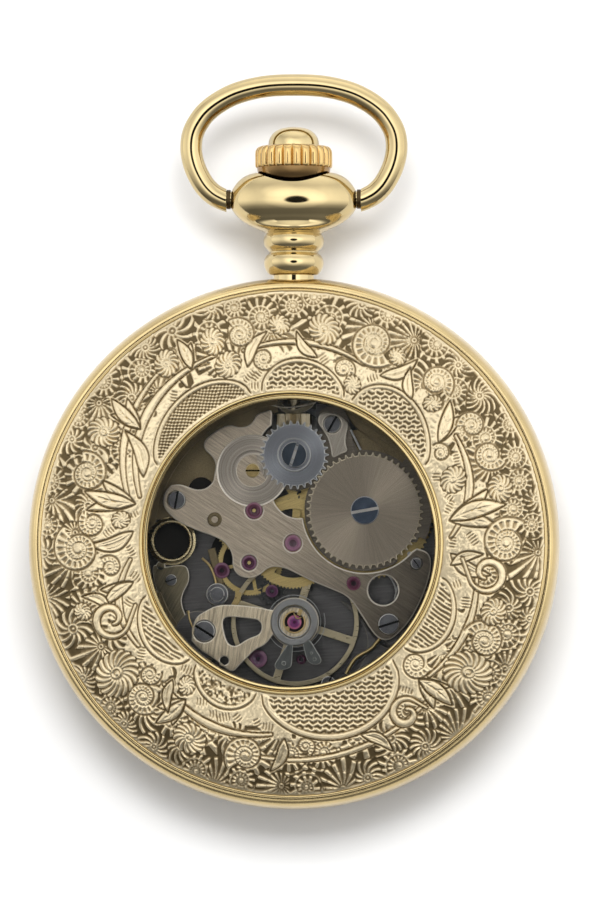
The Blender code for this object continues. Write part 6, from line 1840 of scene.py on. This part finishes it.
marks = []
for i in range(60):
    a = math.radians(90 - 6 * i)
    w = 0.22 if i % 5 == 0 else 0.07
    r0, r1 = (17.75, 19.0) if i % 5 == 0 else (18.2, 19.0)
    c, s = math.cos(a), math.sin(a)
    marks.append([(r0 * c - w * s, r0 * s + w * c), (r0 * c + w * s, r0 * s - w * c),
                  (r1 * c + w * s, r1 * s - w * c), (r1 * c - w * s, r1 * s + w * c)])
track = [circle(19.12, 160), circle(19.04, 160)]
ring2 = [circle(18.16, 160), circle(18.09, 160)]
loops = slab(marks, 0.0, 0.03)
tr = joined(loops, slab(track, 0.0, 0.03), slab(ring2, 0.0, 0.03))
tr.transform(FRONT)
place("minute_track", shifted(tr, 0, 0, -2.355), m_print, "case")


def numeral(text, at_deg, r, h):
    """A Roman hour numeral built from straight strokes."""
    bars, x = [], 0.0
    for ch in text:
        if ch == "I":
            bars.append([(x - 0.17, -h / 2), (x + 0.17, -h / 2), (x + 0.17, h / 2), (x - 0.17, h / 2)])
            for e in (-1, 1):
                bars.append([(x - 0.34, e * h / 2 - 0.06), (x + 0.34, e * h / 2 - 0.06),
                             (x + 0.34, e * h / 2 + 0.06), (x - 0.34, e * h / 2 + 0.06)])
            x += 0.78
        elif ch == "V":
            x += 0.25
            bars.append([(x - 0.72, h / 2), (x - 0.36, h / 2), (x + 0.10, -h / 2), (x - 0.10, -h / 2)])
            bars.append([(x + 0.56, h / 2), (x + 0.70, h / 2), (x + 0.10, -h / 2), (x - 0.02, -h / 2)])
            x += 1.05
        else:
            x += 0.30
            bars.append([(x - 0.72, h / 2), (x - 0.36, h / 2), (x + 0.66, -h / 2), (x + 0.30, -h / 2)])
            bars.append([(x + 0.50, h / 2), (x + 0.64, h / 2), (x - 0.58, -h / 2), (x - 0.72, -h / 2)])
            x += 1.10
    xs = [p[0] for b in bars for p in b]
    c = (min(xs) + max(xs)) / 2
    a = math.radians(at_deg)
    flip = -1 if math.sin(a) < -0.1 else 1
    out = []
    for b in bars:
        o = []
        for px, py in b:
            u, v = (px - c) * flip, py * flip
            o.append((r * math.cos(a) + u * math.sin(a) + v * math.cos(a),
                      r * math.sin(a) - u * math.cos(a) + v * math.sin(a)))
        out.append(o)
    return out


nums = []
for i, t in enumerate(("XII", "I", "II", "III", "IIII", "V", "VI", "VII", "VIII", "IX", "X", "XI")):
    for b in numeral(t, 90 - 30 * i, 14.9, 3.6):
        nums.append(slab([b], 0.0, 0.035))
nm = joined(*nums)
nm.transform(FRONT)
place("hour_numerals", shifted(nm, 0, 0, -2.355), m_print, "case")

HOUR_A, MIN_A = math.radians(305.0), math.radians(60.0)


def hand(length, tail, width, hub, bore, h0, h1, clock, pierced):
    pts = [(-width * 0.30, -tail), (-width * 0.42, -tail * 0.6), (-width * 0.26, 0.0), (-width * 0.26, length * 0.30),
           (-width, length * 0.52), (-width * 0.5, length * 0.76), (-0.05, length * 0.97), (0.0, length)]
    full = pts + [(-x, y) for x, y in pts[-2::-1]]
    loops = [chaikin(full, 1)]
    if pierced:
        loops.append([(-width * 0.4, length * 0.50), (0.0, length * 0.62), (width * 0.4, length * 0.50), (0.0, length * 0.42)])
    me = union(slab(loops, h0 + 0.01, h1 - 0.01, 0.03), slab([circle(hub, 56)], h0, h1, 0.03))
    me = cut(me, rod(bore, h0 - 1, h1 + 1))
    me.transform(Matrix.Rotation(clock, 4, "Z"))
    return me


place("hour_hand_leaf", hand(9.8, 2.4, 0.95, 1.35, 1.09, -2.82, -2.62, HOUR_A, True), m_hand, "hour", ["hour_hand"])
place("minute_hand_leaf", hand(15.6, 3.2, 0.70, 1.05, 0.59, -3.22, -3.04, MIN_A, False), m_hand, "centre", ["minute_hand"])

# ---- what stays as packed takes its finish here
FINISH = {"gold_case": m_case, "brass_wheels": m_brass, "balance_gilt": m_gilt, "bridge_grey": m_bridge,
          "dark_plate": m_plate, "ratchet_grey": m_ratchet, "blue_grey": m_crownwheel,
          "blued_steel": m_screw_blue, "steel": m_steel_dark, "ruby": m_ruby_p, "enamel": m_dial, "glass": m_glass}
for s in frame["record"]["subparts"]:
    ob = NODES[s["node"]]
    if not ob.hide_render:
        ob.data.materials.clear()
        winding = any(w in s["node"] for w in ("winding", "sliding", "stem"))
        ob.data.materials.append(m_pinion if winding else FINISH[s["material_slot"]])


# ================================================================ light, camera
bpy.context.scene.view_settings.view_transform = "Standard"
bpy.context.scene.view_settings.look = "None"

LOOK = Vector((0.00067, -0.0095, 0.00820))
cam_data = bpy.data.cameras.new("camera")
cam_data.sensor_width = 36.0
cam_data.lens = 227.1
cam_data.clip_start, cam_data.clip_end = 0.01, 10.0
cam = bpy.data.objects.new("camera", cam_data)
COLL.objects.link(cam)
AZ, EL, DIST = math.radians(2.5), math.radians(-1.5), 0.5
cam.location = LOOK + DIST * Vector((math.sin(AZ) * math.cos(EL), -math.cos(AZ) * math.cos(EL), math.sin(EL)))
cam.rotation_euler = (LOOK - cam.location).to_track_quat("-Z", "Y").to_euler()
bpy.context.scene.camera = cam

# studio surroundings, fixed to the camera so every view is lit alike
world = bpy.data.worlds.new("studio")
bpy.context.scene.world = world
world.use_nodes = True
wt = world.node_tree
wt.nodes.clear()


class W(Shade):
    def __init__(self, tree):
        self.t = tree


w = W(wt)
tc = w.n("ShaderNodeTexCoord")
vt = w.n("ShaderNodeVectorTransform", vector_type="VECTOR", convert_from="WORLD", convert_to="CAMERA")
w.link(tc.outputs["Generated"], vt.inputs[0])
sp = w.n("ShaderNodeSeparateXYZ")
nv = w.n("ShaderNodeVectorMath", operation="NORMALIZE")
w.link(vt.outputs[0], nv.inputs[0])
w.link(nv.outputs[0], sp.inputs[0])
cx, cy, cz = sp.outputs         # right, up, into the scene in camera space


def lobe(dx, dy, dz, inner, outer, power):
    """A soft disc of light towards a direction given in camera space."""
    L = math.sqrt(dx * dx + dy * dy + dz * dz)
    d = w.math("ADD", w.math("ADD", w.math("MULTIPLY", cx, dx / L), w.math("MULTIPLY", cy, dy / L)),
               w.math("MULTIPLY", cz, dz / L))
    m = w.range(d, math.cos(math.radians(outer)), math.cos(math.radians(inner)), 0.0, power)
    return m


# camera space in the shader: +z points into the scene, so the viewer's side is -z
tot = w.math("MULTIPLY", w.ramp(w.range(cy, -1.0, 1.0, 0.0, 1.0), [((c + 1) / 2, (k, k, k, 1)) for c, k in SKY]), SKY_GAIN)
side = w.ramp(w.range(cx, -1.0, 1.0, 0.0, 1.0), [((c + 1) / 2, (k, k, k, 1)) for c, k in SIDE])
tot = w.math("MULTIPLY", tot, side)
for direction, spread in LOBES:
    tot = w.math("ADD", tot, lobe(*direction, *spread))
tot = w.math("MAXIMUM", tot, 0.02)
lp = w.n("ShaderNodeLightPath")
tot = w.math("MULTIPLY", tot, w.range(lp.outputs["Is Diffuse Ray"], 0.0, 1.0, 1.0, DIFFUSE_SHARE))
bgs = w.n("ShaderNodeBackground")
bgs.inputs["Color"].default_value = (0.985, 0.99, 1.0, 1.0)
w.link(tot, bgs.inputs["Strength"])
bgw = w.n("ShaderNodeBackground")
bgw.inputs["Color"].default_value = lin(254, 254, 254)
bgw.inputs["Strength"].default_value = 1.0
mx = w.n("ShaderNodeMixShader")
w.link(lp.outputs["Is Camera Ray"], mx.inputs[0])
w.link(bgs.outputs[0], mx.inputs[1])
w.link(bgw.outputs[0], mx.inputs[2])
wo = w.n("ShaderNodeOutputWorld")
w.link(mx.outputs[0], wo.inputs["Surface"])


def lamp(name, loc, size, power, colour=(1, 0.99, 0.97), size_y=None):
    d = bpy.data.lights.new(name, "AREA")
    d.shape = "RECTANGLE"
    d.size, d.size_y = size, size_y or size
    d.energy = power
    d.color = colour
    o = bpy.data.objects.new(name, d)
    COLL.objects.link(o)
    o.parent = cam
    o.location = loc
    aim = Vector((0.0, 0.0, -DIST)) - Vector(loc)
    o.rotation_euler = aim.to_track_quat("-Z", "Y").to_euler()
    o.visible_glossy = False
    return o


for args in LAMPS:
    lamp(*args)


# pale backdrops close behind the watch, each only there when it is behind
def backdrop(name, y, facing):
    me = bpy.data.meshes.new(name)
    g = 24
    half = 0.30
    vs, fs = [], []
    for i in range(g + 1):
        for j in range(g + 1):
            vs.append((-half + 2 * half * i / g, y, -half + 2 * half * j / g + 0.01))
    for i in range(g):
        for j in range(g):
            q = i * (g + 1) + j
            fs.append((q, q + 1, q + g + 2, q + g + 1))
    me.from_pydata(vs, [], fs)
    ob = bpy.data.objects.new(name, me)
    COLL.objects.link(ob)
    s = Shade(name + "_paper")
    v = s.n("ShaderNodeVectorTransform", vector_type="VECTOR", convert_from="CAMERA", convert_to="WORLD")
    v.inputs[0].default_value = (0.0, 0.0, 1.0)
    q = s.n("ShaderNodeSeparateXYZ")
    s.link(v.outputs[0], q.inputs[0])
    seen = s.math("GREATER_THAN", s.math("MULTIPLY", q.outputs[1], float(facing)), 0.30)
    grain = s.noise(s.coords((1000, 1000, 1000)), 0.3, 2.0)
    k = s.range(grain, 0.3, 0.7, 0.985, 1.0)
    base = s.combine(k, k, k)
    # paper white as lit; only the soft shadow of the watch darkens it
    s.set(Base_Color=base, Roughness=0.9, Specular_IOR_Level=0.0, Metallic=0.0, Alpha=seen)
    ob.data.materials.append(s.m)
    return ob


def gives_way(ob, channel, piece, rate):
    """The paper steps back as the piece turns away from the case, metres per radian."""
    fc = ob.driver_add(channel, 1)
    fc.driver.type = "SUM"
    var = fc.driver.variables.new()
    var.type = "ROTATION_DIFF"
    var.targets[0].id = bpy.data.objects["band"]
    var.targets[1].id = bpy.data.objects[piece]
    for m in list(fc.modifiers):
        fc.modifiers.remove(m)
    gen = fc.modifiers.new("GENERATOR")
    gen.poly_order = 1
    gen.coefficients = (0.0, rate)


rear = backdrop("backdrop_rear", BACK_GAP, 1)
front = backdrop("backdrop_front", -0.0136 - BACK_GAP, -1)
gives_way(rear, "location", "lid_shell", 0.047)
gives_way(rear, "delta_location", "bow_ring", 0.0085)
gives_way(front, "delta_location", "bow_ring", -0.0085)
